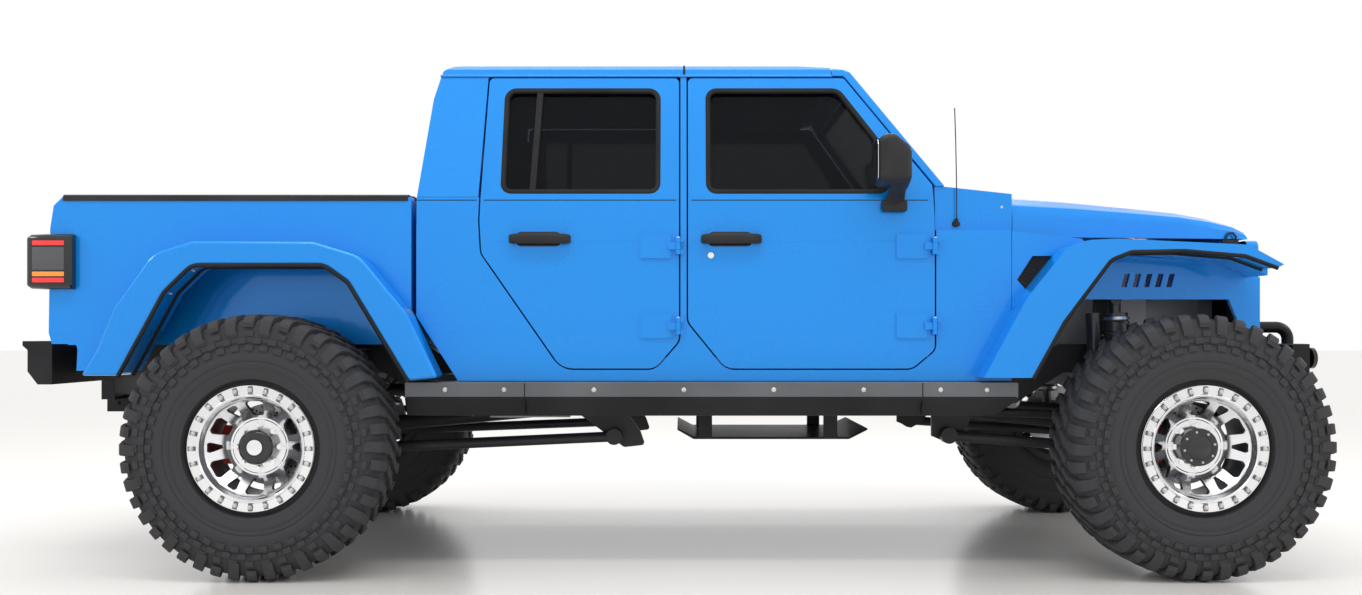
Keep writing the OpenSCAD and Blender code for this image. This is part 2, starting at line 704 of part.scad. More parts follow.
module rim(x, side) {
  well_r = rim_r - 26;
  skin = 10;
  // Wheel nuts
  color(bright) translate([x, 0, axle_z]) rotate([side < 0 ? 90 : -90, 0,
    0]) for (i = [0:lug_count - 1])
    rotate([0, 0, i * 360 / lug_count]) translate([lug_pcd / 2, 0, hub_face + 29])
      cylinder(h = 20, r = 10);
  color(bright) difference() {
    // Hub and disc, then the dished face, the barrel, the clamp ring and the cap
    turned(x, side, [
      [hub_in + 6, spindle_r + pin_gap], [hub_in + 6, spindle_r + 22], [disc_y - 11, spindle_r + 28],
      [disc_y - 11, disc_r], [disc_y + 11, disc_r], [disc_y + 11, 98], [hub_face, 98], [hub_face, 112],
      [ring_y - 54, well_r - skin], [barrel_in + 70, well_r - skin], [barrel_in + 44, rim_r - 12],
      [barrel_in, rim_r - 12], [barrel_in, rim_r + 16], [barrel_in + 10, rim_r + 16],
      [barrel_in + 14, rim_r], [barrel_in + 50, rim_r - 2], [barrel_in + 70, well_r],
      [ring_y - 60, well_r], [ring_y - 44, rim_r - 3], [ring_y - 26, rim_r - 1],
      [ring_y - 24, ring_d / 2 - 4], [ring_y - 4, ring_d / 2], [ring_y, ring_d / 2 - 4],
      [ring_y, rim_r - 24], [ring_y - 24, well_r - skin + 4], [ring_y - 30, well_r - skin],
      [hub_face + 30, 108], [hub_face + 30, cap_r], [ring_y - 68, cap_r], [ring_y - 60, cap_r - 10],
      [ring_y - 60, 0], [hub_face + 1, 0], [hub_face + 1, spindle_r + pin_gap]
    ]);
    // Windows, large and small in turn
    for (i = [0:window_count - 1]) {
      wheel_window(x, side, i * 360 / window_count, [[120, 20], [166, 36], [176, 24]], 9);
      wheel_window(x, side, (i + 0.5) * 360 / window_count, [[132, 6], [168, 20], [176, 15]], 4);
    }
  }
}

// Window in the wheel's face, from rows [radius, half width]
module wheel_window(x, side, angle, rows, r) {
  half = [for (w = rows) [w[1], w[0], r]];
  outline = concat(half, [for (i = [len(half) - 1:-1:0]) [-half[i][0], half[i][1], r]]);
  translate([x, 0, axle_z]) rotate([side < 0 ? 90 : -90, 0, 0]) rotate([0, 0, angle])
    translate([0, 0, hub_face - 4]) linear_extrude(120) polygon(rounded(outline, 4));
}

module tyre(x, side) {
  y0 = tyre_y - tyre_w / 2;
  y1 = tyre_y + tyre_w / 2;
  r = tyre_d / 2;
  seat = rim_r + 0.3;
  wall = 16;
  color(black) turned(x, side, concat(
    [[barrel_in + 14.5, seat], [barrel_in + 10, seat + 22], [y0 + 8, rim_r + 55], [y0, rim_r + 110],
     [y0 + 2, r - 100], [y0 + 14, r - 46], [y0 + 30, r - 12], [y0 + 60, r - 2], [tyre_y, r],
     [y1 - 60, r - 2], [y1 - 30, r - 12], [y1 - 14, r - 46], [y1 - 2, r - 100], [y1, rim_r + 110],
     [y1 - 8, rim_r + 55], [ring_y - 26.5, ring_d / 2 + 12], [ring_y - 26.5, seat],
     [ring_y - 44, seat]],
    [[ring_y - 44, rim_r + 22], [y1 - wall, rim_r + 60], [y1 - wall - 4, r - 90], [y1 - 50, r - 42],
     [y0 + 50, r - 42], [y0 + wall + 4, r - 90], [y0 + wall, rim_r + 60],
     [barrel_in + 34, rim_r + 22], [barrel_in + 34, seat]]
  ));
}

// ---------------------------------------------------------------- cab

floor_t = 40;
floor_z = sill_z + 92;
tub_front = cab_front - 20;
rear_wall_t = 50;
cut_z = sill_z + 257;

module cab_tub() {
  color(blue) {
    difference() {
      union() {
        // Sides
        both() intersection() {
          side_plate([
            [cab_rear, belt_z], [cab_rear, cut_z], [cab_rear + 165, sill_z],
            [tub_front, sill_z], [tub_front, belt_z - 130], [fd_front - 60, belt_z - 130],
            [fd_front - 60, belt_z]
          ], -hw, 0);
          cross_bar(side_section(0, wall_t), cab_rear, tub_front);
        }
        // Inner frame of the centre post, up to the roof
        both() cross_bar(side_section(wall_t + 8, wall_t + 46), pillar_x - 55, pillar_x + 55);
        // Floor and its slanted end, back wall and firewall
        box([cab_rear + 160, -hw + 30, floor_z - floor_t], [fd_front + 40, hw - 30, floor_z]);
        side_plate([
          [cab_rear, cut_z], [cab_rear, cut_z + 20], [cab_rear + rear_wall_t, cut_z + 20],
          [cab_rear + 180, floor_z], [cab_rear + 180, floor_z - floor_t],
            [cab_rear + 131, floor_z - floor_t]
        ], -hw + 30, hw - 30);
        cross_bar([
          [-hw + 30, cut_z + 19], [-hw + 30, belt_z - 175], [-hw + 40, belt_z],
          [hw - 40, belt_z], [hw - 30, belt_z - 175], [hw - 30, cut_z + 19]
        ], cab_rear, cab_rear + rear_wall_t);
        box([fd_front + 6, -hw + 30, floor_z - floor_t], [fd_front + 50, hw - 30, belt_z - 130]);
      }
      both() for (outline = [FRONT_DOOR, REAR_DOOR])
        side_plate(rounded(grow(outline, door_gap)), -hw - 1, -hw + wall_t + 7);
      both() intersection() {
        union() for (outline = [FRONT_DOOR, REAR_DOOR])
          side_plate(rounded(grow(outline, door_gap)), -hw - 1, 0);
        cross_bar(side_section(-2, wall_t + 7), cab_rear, tub_front + 1);
      }
      // Room for the door's hinge side
      both() for (x = [fd_hinge_x, rd_hinge_x], z = HINGE_Z)
        translate([x, hinge_y, z - hinge_h / 2 - 8]) cylinder(h = hinge_h + 16, r = hinge_r + 12);
    }
    // Outer strip of the centre post
    both() intersection() {
      box([rd_front + door_gap, -hw - 1, door_low], [fd_rear - door_gap, 0, eave_z]);
      cross_bar(side_section(0, wall_t + 9), pillar_x - 60, pillar_x + 60);
    }
    both() for (x = [fd_hinge_x, rd_hinge_x]) hinge_axis_parts(x, false);
  }
}

SHIELD_OPENING = [
  [-hw + 118, belt_z + 92, 40], [-hw + 118 + lean * 0.62, eave_z - 34, 40],
  [hw - 118 - lean * 0.62, eave_z - 34, 40], [hw - 118, belt_z + 92, 40]
];

module windshield_frame() {
  color(blue) difference() {
    intersection() {
      side_plate([
        shield_at(cowl_top, 0), shield_at(eave_z + 22, 0), [shield_head[0] - 26, eave_z + 32],
        [shield_back, eave_z + 38], [shield_back, eave_z + 3], shield_at(eave_z + 3, pillar_t),
        shield_at(cowl_top, pillar_t)
      ], -hw, hw);
      cross_bar(concat(
        [for (r = CAB_SIDE) [-(hw - r[1]), r[0]]], [[-ROOF[1][0], ROOF[1][1]],
          [-ROOF[2][0], ROOF[2][1]]],
        [[ROOF[2][0], ROOF[2][1]], [ROOF[1][0], ROOF[1][1]]],
        [for (i = [len(CAB_SIDE) - 1:-1:0]) [hw - CAB_SIDE[i][1], CAB_SIDE[i][0]]]
      ), shield_back, fd_front + 100);
    }
    cross_bar(rounded(SHIELD_OPENING), fd_front - 250, fd_front + 200);
    cross_bar(rounded(SHIELD_OPENING), shield_back - 1, fd_front - 249);
  }
}

// Roof section over half its width: [y, z]
eave_y = hw - 8 - lean;
ROOF = [
  [eave_y, eave_z], [eave_y - 8, eave_z + roof_rise * 0.5], [eave_y - 40, eave_z + roof_rise * 0.8],
  [eave_y - 260, eave_z + roof_rise * 0.95], [0, eave_z + roof_rise]
];
roof_t = 48;
top_split = pillar_x + 2;

module roof_shell(profile, x0, x1)
  intersection() {
    side_plate(profile, -hw, hw);
    cross_bar(concat(
      [for (r = ROOF) [-r[0], r[1]]], [for (i = [len(ROOF) - 2:-1:0]) ROOF[i]]
    ), x0, x1);
  }

BACK_WINDOW = [
  [-470, belt_z + 85, 40], [-440, eave_z - 110, 40], [440, eave_z - 110, 40], [470, belt_z + 85, 40]
];
back_top = cab_rear + 74;
roof_in = eave_z + roof_rise - roof_t;

module hard_top() {
  color(blue) {
    difference() {
      union() {
        // Roof over the rear seats
        difference() {
          roof_shell([
            [back_top, eave_z], [back_top + 8, eave_z + 24], [back_top + 44, eave_z + 48],
            [back_top + 230, eave_z + roof_rise], [top_split - 3, eave_z + roof_rise],
            [top_split - 3, eave_z]
          ], cab_rear, top_split);
          box([back_top + 60, -eave_y + 66, eave_z - 1], [top_split, eave_y - 66, roof_in]);
        }
        // Quarter panels beside the back wall
        both() intersection() {
          side_plate([
            [cab_rear, belt_z + 1], [back_top - 26, eave_z - 96], [back_top, eave_z],
            [rd_rear + 23 - door_gap, eave_z], [rd_rear - door_gap, belt_z + 1]
          ], -hw, 0);
          cross_bar(side_section(0, wall_t), cab_rear, pillar_x);
        }
        // Back wall, from belt to roof
        intersection() {
          side_plate([
            [cab_rear, belt_z + 1], [back_top - 26, eave_z - 96], [back_top, eave_z],
            [back_top + 62, eave_z], [back_top + 30, eave_z - 96], [cab_rear + 50, belt_z + 1]
          ], -hw, hw);
          cross_bar(cab_section(0.5), cab_rear, pillar_x);
        }
      }
      both() side_plate(rounded(grow(REAR_DOOR, door_gap)), -hw - 1, -eave_y + 70);
      cross_bar(rounded(BACK_WINDOW), cab_rear - 10, cab_rear + 300);
    }
    // Panel over the front seats
    difference() {
      roof_shell([
        [top_split + 3, eave_z], [top_split + 3, eave_z + roof_rise],
        [fd_front - 640, eave_z + roof_rise - 4], [shield_back - 3, eave_z + 41],
        [shield_back - 3, eave_z]
      ], top_split, fd_front);
      box([top_split - 1, -eave_y + 66, eave_z - 1], [shield_back - 40, eave_y - 66, roof_in - 20]);
      both() side_plate(rounded(grow(FRONT_DOOR, door_gap)), -hw - 1, -eave_y + 70);
    }
  }
}

module fixed_glass() {
  color(tint) {
    // Windshield
    intersection() {
      side_plate([
        shield_at(belt_z + 60, 10), shield_at(eave_z + 10, 10),
        shield_at(eave_z + 10, 17), shield_at(belt_z + 60, 17)
      ], -hw, hw);
      cross_bar(rounded(grow(SHIELD_OPENING, -glass_gap)), fd_front - 400, fd_front + 200);
    }
    // Back window
    intersection() {
      side_plate([
        [cab_rear + 20, belt_z + 10], [back_top - 4, eave_z - 96],
        [back_top + 2, eave_z - 96], [cab_rear + 26, belt_z + 10]
      ], -hw, hw);
      cross_bar(rounded(grow(BACK_WINDOW, -glass_gap)), cab_rear - 10, cab_rear + 300);
    }
  }
}

cowl_w_r = hw - 22;
cowl_w_f = hw - 56;
cowl_slope = 26;

module cowl() {
  color(blue) difference() {
    intersection() {
      side_plate([
        [fd_front + door_gap, belt_z - 129.7], [fd_front + door_gap, belt_z - 72],
        [fd_front + door_gap - 2, cowl_top - 0.5], [fd_front + 52, cowl_top - 0.5],
        [cab_front - 4, cowl_top - cowl_slope], [cab_front - 4, belt_z - 129.7]
      ], -hw, hw);
      plan_plate([
        [fd_front - 40, -cowl_w_r], [cab_front, -cowl_w_f], [cab_front, cowl_w_f],
          [fd_front - 40, cowl_w_r]
      ], belt_z - 200, cowl_top);
    }
    box([fd_front + 60, -cowl_w_f + 50, belt_z - 200],
      [cab_front + 1, cowl_w_f - 50, cowl_top - cowl_slope - 30]);
    box([fd_front - 100, -cowl_w_f + 50, belt_z - 200], [fd_front + 61, cowl_w_f - 50, cowl_top - 40]);
  }
  color(blue) hood_leaf(false);
}

module dashboard() {
  color(black) difference() {
    side_plate(rounded([
      [fd_front + 5.7, belt_z - 190, 0], [fd_front + 5.7, cowl_top - 48, 0],
        [fd_front - 60, cowl_top - 46, 30],
      [fd_front - 190, cowl_top - 80, 50], [fd_front - 200, belt_z - 180, 40],
        [fd_front - 80, belt_z - 280, 60],
      [fd_front + 5.7, belt_z - 280, 0]
    ]), -hw + 110, hw - 110);
    translate(wheel_at) rotate([0, wheel_lean, 0]) cylinder(h = column_l + 0.3, r = column_r + 0.3);
  }
}

wheel_at = [fd_front - 300, 380, belt_z - 105];
wheel_lean = 114;
column_r = 24;
column_l = 125;
module steering_wheel() {
  color(black) translate(wheel_at) rotate([0, wheel_lean, 0]) {
    rotate_extrude() translate([178, 0]) circle(r = 15, $fn = 24);
    for (a = [0, 120, 240]) rotate([0, 0, a + 180]) box([30, -16, -8], [170, 16, 6]);
    translate([0, 0, -12]) cylinder(h = 30, r = 60);
    cylinder(h = column_l, r = column_r);
  }
}

// Seat drawn about its own middle, w wide
module seat(x, y, w, base) {
  translate([x, y, floor_z]) {
    translate([0, w / 2, 0]) rotate([90, 0, 0]) linear_extrude(w) polygon(rounded([
      [-90, base, 30], [-60, base + 155, 30], [-190, base + 660, 60], [-80, base + 690, 60],
      [60, base + 170, 30], [430, base + 190, 60], [450, base, 40]
    ]));
    box([-60, -w / 2 + 60, 0], [400, w / 2 - 60, base + 5]);
  }
}

module headrest(x, y, base) {
  translate([x, y, floor_z + base]) {
    translate([0, 130, 0]) rotate([90, 0, 0]) linear_extrude(260) polygon(rounded([
      [-200, 720, 25], [-215, 890, 35], [-120, 900, 35], [-110, 720, 30]
    ]));
    for (s = [-1, 1]) rod([-150, s * 60, 640], [-160, s * 60, 760], 7);
  }
}

module seats() {
  color(black) {
    for (y = [-360, 360]) {
      seat(pillar_x + 120, y, 500, 120);
      headrest(pillar_x + 120, y, 120);
    }
    seat(rd_rear + 190, 0, 1280, 130);
    for (y = [-400, 400]) headrest(rd_rear + 190, y, 130);
  }
}

// ---------------------------------------------------------------- front end

// Front flare, relative to the axle: [x, z, corner radius]
flare_z = sill_z + 17;
FLARE_TOP = [
  [-800, flare_z, 0], [-632, flare_z + 310, 120], [-480, flare_z + 500, 60], [-395, flare_z + 530, 60],
  [-290, flare_z + 535, 60], [216, flare_z + 512, 100], [354, flare_z + 436, 0]
];
FLARE_UNDER = [
  [330, flare_z + 424, 0], [205, flare_z + 470, 60], [-30, flare_z + 490, 100],
    [-232, flare_z + 486, 60],
  [-310, flare_z + 455, 60], [-375, flare_z + 368, 60], [-490, flare_z + 215, 100], [-609, flare_z, 0]
];
strip_t = 34;
hood_w_r = hw - 60;
hood_w_f = hw - 190;

module front_fenders() {
  color(blue) both() translate([axle_f, 0, 0]) difference() {
    union() {
      // Flare
      side_plate(rounded(concat(FLARE_TOP, FLARE_UNDER)), -hw - flare_out, -hw + 0.0);
      // Top, from the flare in to the hood's edge
      intersection() {
        side_plate([
          [-500, flare_z + 480], [-395, flare_z + 530], [-290, flare_z + 535], [216, flare_z + 512],
          [354, flare_z + 436], [354, flare_z + 400], [200, flare_z + 512 - strip_t - 12],
          [-290, flare_z + 535 - strip_t], [-500, flare_z + 440]
        ], -hw - 1, 0);
        plan_plate([
          [-520, -hw - 2], [-520, -hood_w_r + 20], [362, -hood_w_f + 20], [362, -hw - 2]
        ], flare_z, flare_z + 600);
      }
      // Side panel between the cowl and the flare
      side_plate([
        [-dash_to_axle - 18, flare_z + 200], [-dash_to_axle - 18, belt_z - 133],
        [-380, flare_z + 545], [-360, flare_z + 525], [-560, flare_z + 300]
      ], -hw, -hw + 26);
      // Inner panel beside the engine
      side_plate([
        [-dash_to_axle + 2, flare_z + 440], [-dash_to_axle + 2, flare_z + 505], [-290, flare_z + 515],
        [216, flare_z + 492], [354, flare_z + 416], [408, flare_z + 400], [408, flare_z + 165],
        [340, flare_z + 165], [280, flare_z + 310], [-440, flare_z + 310]
      ], -hood_w_f - 10, -hood_w_f + 14);
    }
    // Side vent
    side_plate([
      [-575, flare_z + 477], [-498, flare_z + 477], [-596, flare_z + 338], [-636, flare_z + 383]
    ], -hw - 1, -hw + 30);
    // Louvres in the inner panel
    for (i = [0:4]) translate([-160 + i * 46, 0, 0])
      side_plate([[0, flare_z + 360], [22, flare_z + 360], [36, flare_z + 415], [14, flare_z + 415]],
        -hood_w_f - 20, -hood_w_f + 20);
  }
}

// Hood sections: [distance from the front axle, crown height over the seam, half width]
hood_low = belt_z - 153;
HOOD = [
  [-dash_to_axle, 188, hood_w_r], [-374, 172, hw - 92], [-117, 148, hw - 122], [74, 127, hw - 144],
  [202, 102, hw - 160], [300, 72, hw - 174], [350, 40, hw - 184], [362, 14, hood_w_f]
];
// Half of a hood section: [share of the half width, share of the crown height]
HOOD_ARC = [[1, 0], [0.995, 0.42], [0.97, 0.68], [0.9, 0.84], [0.76, 0.91], [0.7, 0.96],
  [0.4, 0.99], [0, 1]];

function hood_ring(row, d) =
  let (half = [for (a = HOOD_ARC) [a[0] * (row[2] - d), hood_low + a[1] * max(row[1] - d, 1)]])
  concat(
    [for (p = half) [axle_f + row[0], -p[0], p[1]]],
    [for (i = [len(half) - 2:-1:0]) [axle_f + row[0], half[i][0], half[i][1]]]
  );

// Solid through a list of rings with the same number of points
module loft(rings) {
  n = len(rings[0]);
  m = len(rings);
  polyhedron(
    points = [for (r = rings) each r],
    faces = concat(
      [[for (i = [n - 1:-1:0]) i]],
      [for (k = [0:m - 2], i = [0:n - 1])
        [k * n + i, k * n + (i + 1) % n, (k + 1) * n + (i + 1) % n, (k + 1) * n + i]],
      [[for (i = [0:n - 1]) (m - 1) * n + i]]
    ),
    convexity = 4
  );
}

hood_t = 30;
hood_axis = [cab_front - 8, hood_low + 184];
hood_hinge_y = 450;
hood_pin_r = 3;

// One half of a hood hinge: a leaf along +X or -X, and its barrels
module hood_leaf(on_hood) {
  translate([hood_axis[0], 0, hood_axis[1]]) for (y = [-hood_hinge_y, hood_hinge_y]) {
    if (on_hood) {
      box([5, y - 10, -8], [62, y + 10, 2]);
      difference() {
        union() {
          eye(0, y, 0, 20, 6);
          box([0, y - 10, -4], [8, y + 10, 2]);
        }
        eye(0, y, 0, 22, hood_pin_r + pin_gap);
      }
    } else {
      for (s = [-1, 1]) {
        eye(0, y + s * 18, 0, 14, 6);
        box([-62, y + s * 18 - 7, -17], [-1, y + s * 18 + 7, -6]);
        box([-5, y + s * 18 - 7, -10], [0, y + s * 18 + 7, 0]);
      }
      eye(0, y, 0, 40, hood_pin_r);
    }
  }
}

module hood() {
  color(blue) hood_leaf(true);
  color(blue) difference() {
    loft([for (row = HOOD) hood_ring(row, 0)]);
    translate([0, 0, -0.5]) loft(concat(
      [hood_ring([-dash_to_axle - 5, 188, hood_w_r], hood_t)],
      [for (i = [1:5]) hood_ring(HOOD[i], hood_t)],
      [hood_ring([330, 50, HOOD[6][2]], hood_t)]
    ));
  }
}

grille_x = axle_f + 366;
grille_hw = hood_w_f - 14.3;
GRILLE = [
  [-grille_hw, 1150, 20], [-grille_hw, hood_low - 3, 30], [grille_hw, hood_low - 3, 30],
    [grille_hw, 1150, 20],
  [hood_w_f - 80, 925, 30], [-hood_w_f + 80, 925, 30]
];
lamp_y = hood_w_f - 130;
lamp_z = 1205;
lamp_r = 92;

module grille() {
  color(blue) difference() {
    cross_bar(rounded(GRILLE), grille_x, grille_x + 48);
    cross_bar(rounded([
      [-lamp_y + 120, 1010, 30], [-lamp_y + 120, 1270, 30], [lamp_y - 120, 1270, 30],
        [lamp_y - 120, 1010, 30]
    ]), grille_x - 1, grille_x + 50);
    both() translate([grille_x - 1, -lamp_y, lamp_z]) rotate([0, 90, 0])
      cylinder(h = 60, r = lamp_r + 0.3);
  }
  color(black) difference() {
    cross_bar(rounded([
      [-lamp_y + 120.3, 1010.3, 30], [-lamp_y + 120.3, 1269.7, 30],
      [lamp_y - 120.3, 1269.7, 30], [lamp_y - 120.3, 1010.3, 30]
    ]), grille_x + 12, grille_x + 26);
    for (i = [0:5]) box([grille_x, -lamp_y + 138, 1030 + i * 39],
      [grille_x + 60, lamp_y - 138, 1030 + i * 39 + 24]);
  }
}

module radiator() {
  color(steel) {
    box([grille_x - 90, -330, 900], [grille_x - 30, 330, 1290]);
    for (y = [-240, 240]) box([grille_x - 50, y - 20, rail_z + rail_kick + 60 + 34.3],
      [grille_x - 30, y + 20, 901]);
  }
}

module headlamps() {
  color(bright) both() translate([grille_x - 40, -lamp_y, lamp_z]) rotate([0, 90, 0])
    cylinder(h = 88, r = lamp_r);
}

hoop_r = 24;
hoop_z = 962;
hoop_bend = 50;
tow_y = 330;
tow_r = 13;
bumper_hw_f = 600;
bumper_f = axle_f + bumper_reach_f;
module front_bumper() {
  color(black) difference() {
    union() {
      intersection() {
        side_plate(rounded([
          [bumper_f - bumper_deep, 892, 6], [bumper_f, 892, 8], [bumper_f, 790, 8],
          [bumper_f - 40, 766, 8], [bumper_f - bumper_deep, 766, 6]
        ]), -bumper_hw_f, bumper_hw_f);
        plan_plate([
          [bumper_f - 140, -bumper_hw_f], [bumper_f - 60, -bumper_hw_f], [bumper_f, -bumper_hw_f + 180],
          [bumper_f, bumper_hw_f - 180], [bumper_f - 60, bumper_hw_f], [bumper_f - 140, bumper_hw_f]
        ], 700, 1000);
      }
      // Guard loops, from the frame rails forwards and down to the bumper
      both() {
        rod([bumper_f - 230, -rail_mid_y, hoop_z], [bumper_f - 102, -rail_mid_y, hoop_z], hoop_r);
        translate([bumper_f - 102, -rail_mid_y, hoop_z - hoop_bend]) rotate([90, 0, 0])
          rotate_extrude(angle = 90) translate([hoop_bend, 0]) circle(r = hoop_r, $fn = 32);
        rod([bumper_f - 52, -rail_mid_y, 880],
          [bumper_f - 52, -rail_mid_y, hoop_z - hoop_bend], hoop_r);
        rod([bumper_f - 205, -rail_mid_y, rail_z + rail_kick + rail_h],
          [bumper_f - 205, -rail_mid_y, hoop_z], hoop_r - 4);
      }
      rod([bumper_f - 150, -rail_mid_y, hoop_z], [bumper_f - 150, rail_mid_y, hoop_z], hoop_r - 4);
      // Tow ears
      both() side_plate(rounded([
        [bumper_f - 90, 770, 0], [bumper_f - 90, 730, 10], [bumper_f - 40, 700, 30],
          [bumper_f - 5, 720, 24],
        [bumper_f - 10, 790, 10]
      ]), -tow_y - 13, -tow_y + 13);
    }
    both() translate([bumper_f - 42, -tow_y + 30, 738]) rotate([90, 0, 0]) cylinder(h = 60, r = tow_r);
  }
}

// ---------------------------------------------------------------- bed

bed_floor_z = belt_z - bed_depth;
bed_wall = 60;
bed_front_t = 40;
house_y = 560;
gate_hw = hw - 108;
gate_t = 60;
gate_axis = [bed_rear + 16, bed_floor_z + 6];
gate_pin_r = 8;

// Rear arch, relative to the axle: [x, z, corner radius]
ARCH = [
  [-552, flare_z + 8, 0], [-376, flare_z + 330, 60], [-270, flare_z + 434, 90],
    [240, flare_z + 434, 90],
  [330, flare_z + 370, 60], [561, flare_z - 12, 0]
];
FLARE_REAR = [
  [-698, flare_z + 8, 0], [-637, flare_z + 107, 0], [-570, flare_z + 272, 60],
    [-420, flare_z + 480, 120],
  [-272, flare_z + 526, 90], [196, flare_z + 524, 90], [375, flare_z + 470, 120],
    [561, flare_z + 246, 60],
  [676, flare_z, 0]
];

module bed() {
  color(steel) gate_pins();
  color(blue) difference() {
    union() {
      // Sides
      both() side_plate([
        [bed_rear + 55, belt_z], [bed_rear + 20, belt_z - 34], [bed_rear + 6, belt_z - 124],
        [bed_rear, bed_floor_z + 6], [bed_rear + 12, bed_floor_z], [bed_rear + 95, bed_floor_z],
        [bed_rear + 114, bed_floor_z - 56], [bed_rear + 110, sill_z + 40], [bed_front - 6, sill_z + 40],
        [bed_front, belt_z]
      ], -hw, -hw + bed_wall);
      // Corner posts beside the tailgate
      both() side_plate([
        [bed_rear + 55, belt_z], [bed_rear + 20, belt_z - 34], [bed_rear + 6, belt_z - 124],
        [bed_rear, bed_floor_z + 6], [bed_rear + 12, bed_floor_z - 36],
          [bed_rear + 80, bed_floor_z - 36],
        [bed_rear + 80, belt_z]
      ], -hw + 1, -gate_hw - door_gap);
      // Front wall and floor
      box([bed_front - bed_front_t, -hw + 1, bed_floor_z - 40], [bed_front, hw - 1, belt_z]);
      box([bed_rear + 76, -house_y - 40, bed_floor_z - 40], [bed_front - 1, house_y + 40, bed_floor_z]);
      both() for (x = [[bed_rear + 76, axle_r_x - 560], [axle_r_x + 540, bed_front - 1]])
        box([x[0], -hw + 1, bed_floor_z - 40], [x[1], -house_y, bed_floor_z]);
      // Wheel houses
      both() side_plate(concat(
        [for (r = [[-600, bed_floor_z - 40], [-600, bed_floor_z + 120], [-420, bed_floor_z + 320],
                   [400, bed_floor_z + 320], [546, bed_floor_z + 120], [546, bed_floor_z - 40]])
          [axle_r_x + r[0], r[1]]]), -hw + 1, -house_y);
    }
    // Room inside the wheel houses and through the arch
    both() translate([axle_r_x, 0, 0]) side_plate(concat(
      [for (r = [[-560, bed_floor_z - 45], [-560, bed_floor_z + 100], [-400, bed_floor_z + 284],
                 [380, bed_floor_z + 284], [506, bed_floor_z + 100], [506, bed_floor_z - 45]]) r]),
      -hw + bed_wall, -house_y - 30);
    both() translate([axle_r_x, 0, 0]) side_plate(rounded(concat(ARCH, [[561, sill_z - 100, 0],
      [-552, sill_z - 100, 0]])),
      -hw - 1, -hw + bed_wall + 1);
  }
}

module gate_pins() both() eye(gate_axis[0], -gate_hw - door_gap / 2, gate_axis[1], 50, gate_pin_r);

module tailgate() {
  color(blue) difference() {
    side_plate([
      [bed_rear + 55, belt_z], [bed_rear + 20, belt_z - 34], [bed_rear + 6, belt_z - 124],
      [bed_rear, bed_floor_z + 6], [bed_rear + 16, bed_floor_z - 8],
        [bed_rear + gate_t, bed_floor_z - 8],
      [bed_rear + gate_t + 6, belt_z]
    ], -gate_hw, gate_hw);
    // Hand recess and the hinge bores
    box([bed_rear - 5, -110, belt_z - 190], [bed_rear + 30, 110, belt_z - 120]);
    both() eye(gate_axis[0], -gate_hw, gate_axis[1], 62, gate_pin_r + pin_gap);
  }
}

module rear_flares() {
  color(blue) both() translate([axle_r_x, 0, 0])
    side_plate(rounded(concat(FLARE_REAR, [for (i = [len(ARCH) - 1:-1:0]) ARCH[i]])),
      -hw - flare_out, -hw);
}

lamp_rear = bed_rear - 78;
module tail_lamps() {
  color(black) both() difference() {
    side_plate(rounded([
      [lamp_rear, belt_z - 145, 20], [lamp_rear + 185, belt_z - 145, 40],
        [lamp_rear + 190, belt_z - 290, 60],
      [lamp_rear + 120, belt_z - 369, 60], [lamp_rear - 6, belt_z - 369, 20]
    ]), -hw - 42, -gate_hw - 6);
    side_plate([
      [bed_rear + 54.7, belt_z + 0.3], [bed_rear + 19.7, belt_z - 33.7],
        [bed_rear + 5.7, belt_z - 123.7],
      [bed_rear - 0.3, bed_floor_z + 6], [bed_rear + 300, bed_floor_z], [bed_rear + 300, belt_z + 0.3]
    ], -hw - 0.3, 0);
  }
}

hitch_z = 617;
hitch_w = 76;
hitch_in = 51;
module rear_bumper() {
  color(black) difference() {
    union() {
      side_plate([
        [bumper_r, 905], [bumper_r, 887], [bumper_r + 20, 869], [bumper_r + 20, 784],
          [bumper_r + 60, 732],
        [bumper_r + bumper_deep_r, 732], [bumper_r + bumper_deep_r, 905]
      ], -hw + 40, hw - 40);
      // Hitch receiver and its drop
      box([bumper_r + 30, -150, 640], [bumper_r + 90, 150, 740]);
      box([bumper_r + 4, -hitch_w / 2, hitch_z - hitch_w / 2],
        [bumper_r + 210, hitch_w / 2, hitch_z + hitch_w / 2]);
    }
    box([bumper_r + 3, -hitch_in / 2, hitch_z - hitch_in / 2],
      [bumper_r + 190, hitch_in / 2, hitch_z + hitch_in / 2]);
    translate([bumper_r + 60, 60, hitch_z]) rotate([90, 0, 0]) cylinder(h = 120, r = 8);
  }
}

// ---------------------------------------------------------------- nodes

module door_on(side, front) {
  color(blue) on(side)
    if (front) door(FRONT_DOOR, FRONT_WINDOW, fd_hinge_x);
    else door(REAR_DOOR, REAR_WINDOW, rd_hinge_x);
}
module glass_on(side, front) color(tint) on(side) pane(front ? FRONT_WINDOW : REAR_WINDOW);

frame_rails();
cross_members();
engine_block();
gearbox();
drive_shafts();
exhaust();
fuel_tank();
armour();
front_axle();
rear_axle();
suspension_links();
coilovers();
cab_tub();
cowl();
windshield_frame();
fixed_glass();
hard_top();
dashboard();
steering_wheel();
seats();
front_fenders();
grille();
radiator();
headlamps();
front_bumper();
bed();
rear_flares();
tail_lamps();
rear_bumper();
hood();
tailgate();
door_on(right, true);  // front_door_right
door_on(left, true);  // front_door_left
door_on(right, false);  // rear_door_right
door_on(left, false);  // rear_door_left
glass_on(right, true);  // front_glass_right
glass_on(left, true);  // front_glass_left
glass_on(right, false);  // rear_glass_right
glass_on(left, false);  // rear_glass_left
color(black) on(right) mirror_unit();  // mirror_right
color(black) on(left) mirror_unit();  // mirror_left
knuckle(right);  // knuckle_right
knuckle(left);  // knuckle_left
tie_rod();
pitman_arm();
rim(axle_f, right);  // rim_front_right
rim(axle_f, left);  // rim_front_left
rim(axle_r_x, right);  // rim_rear_right
rim(axle_r_x, left);  // rim_rear_left
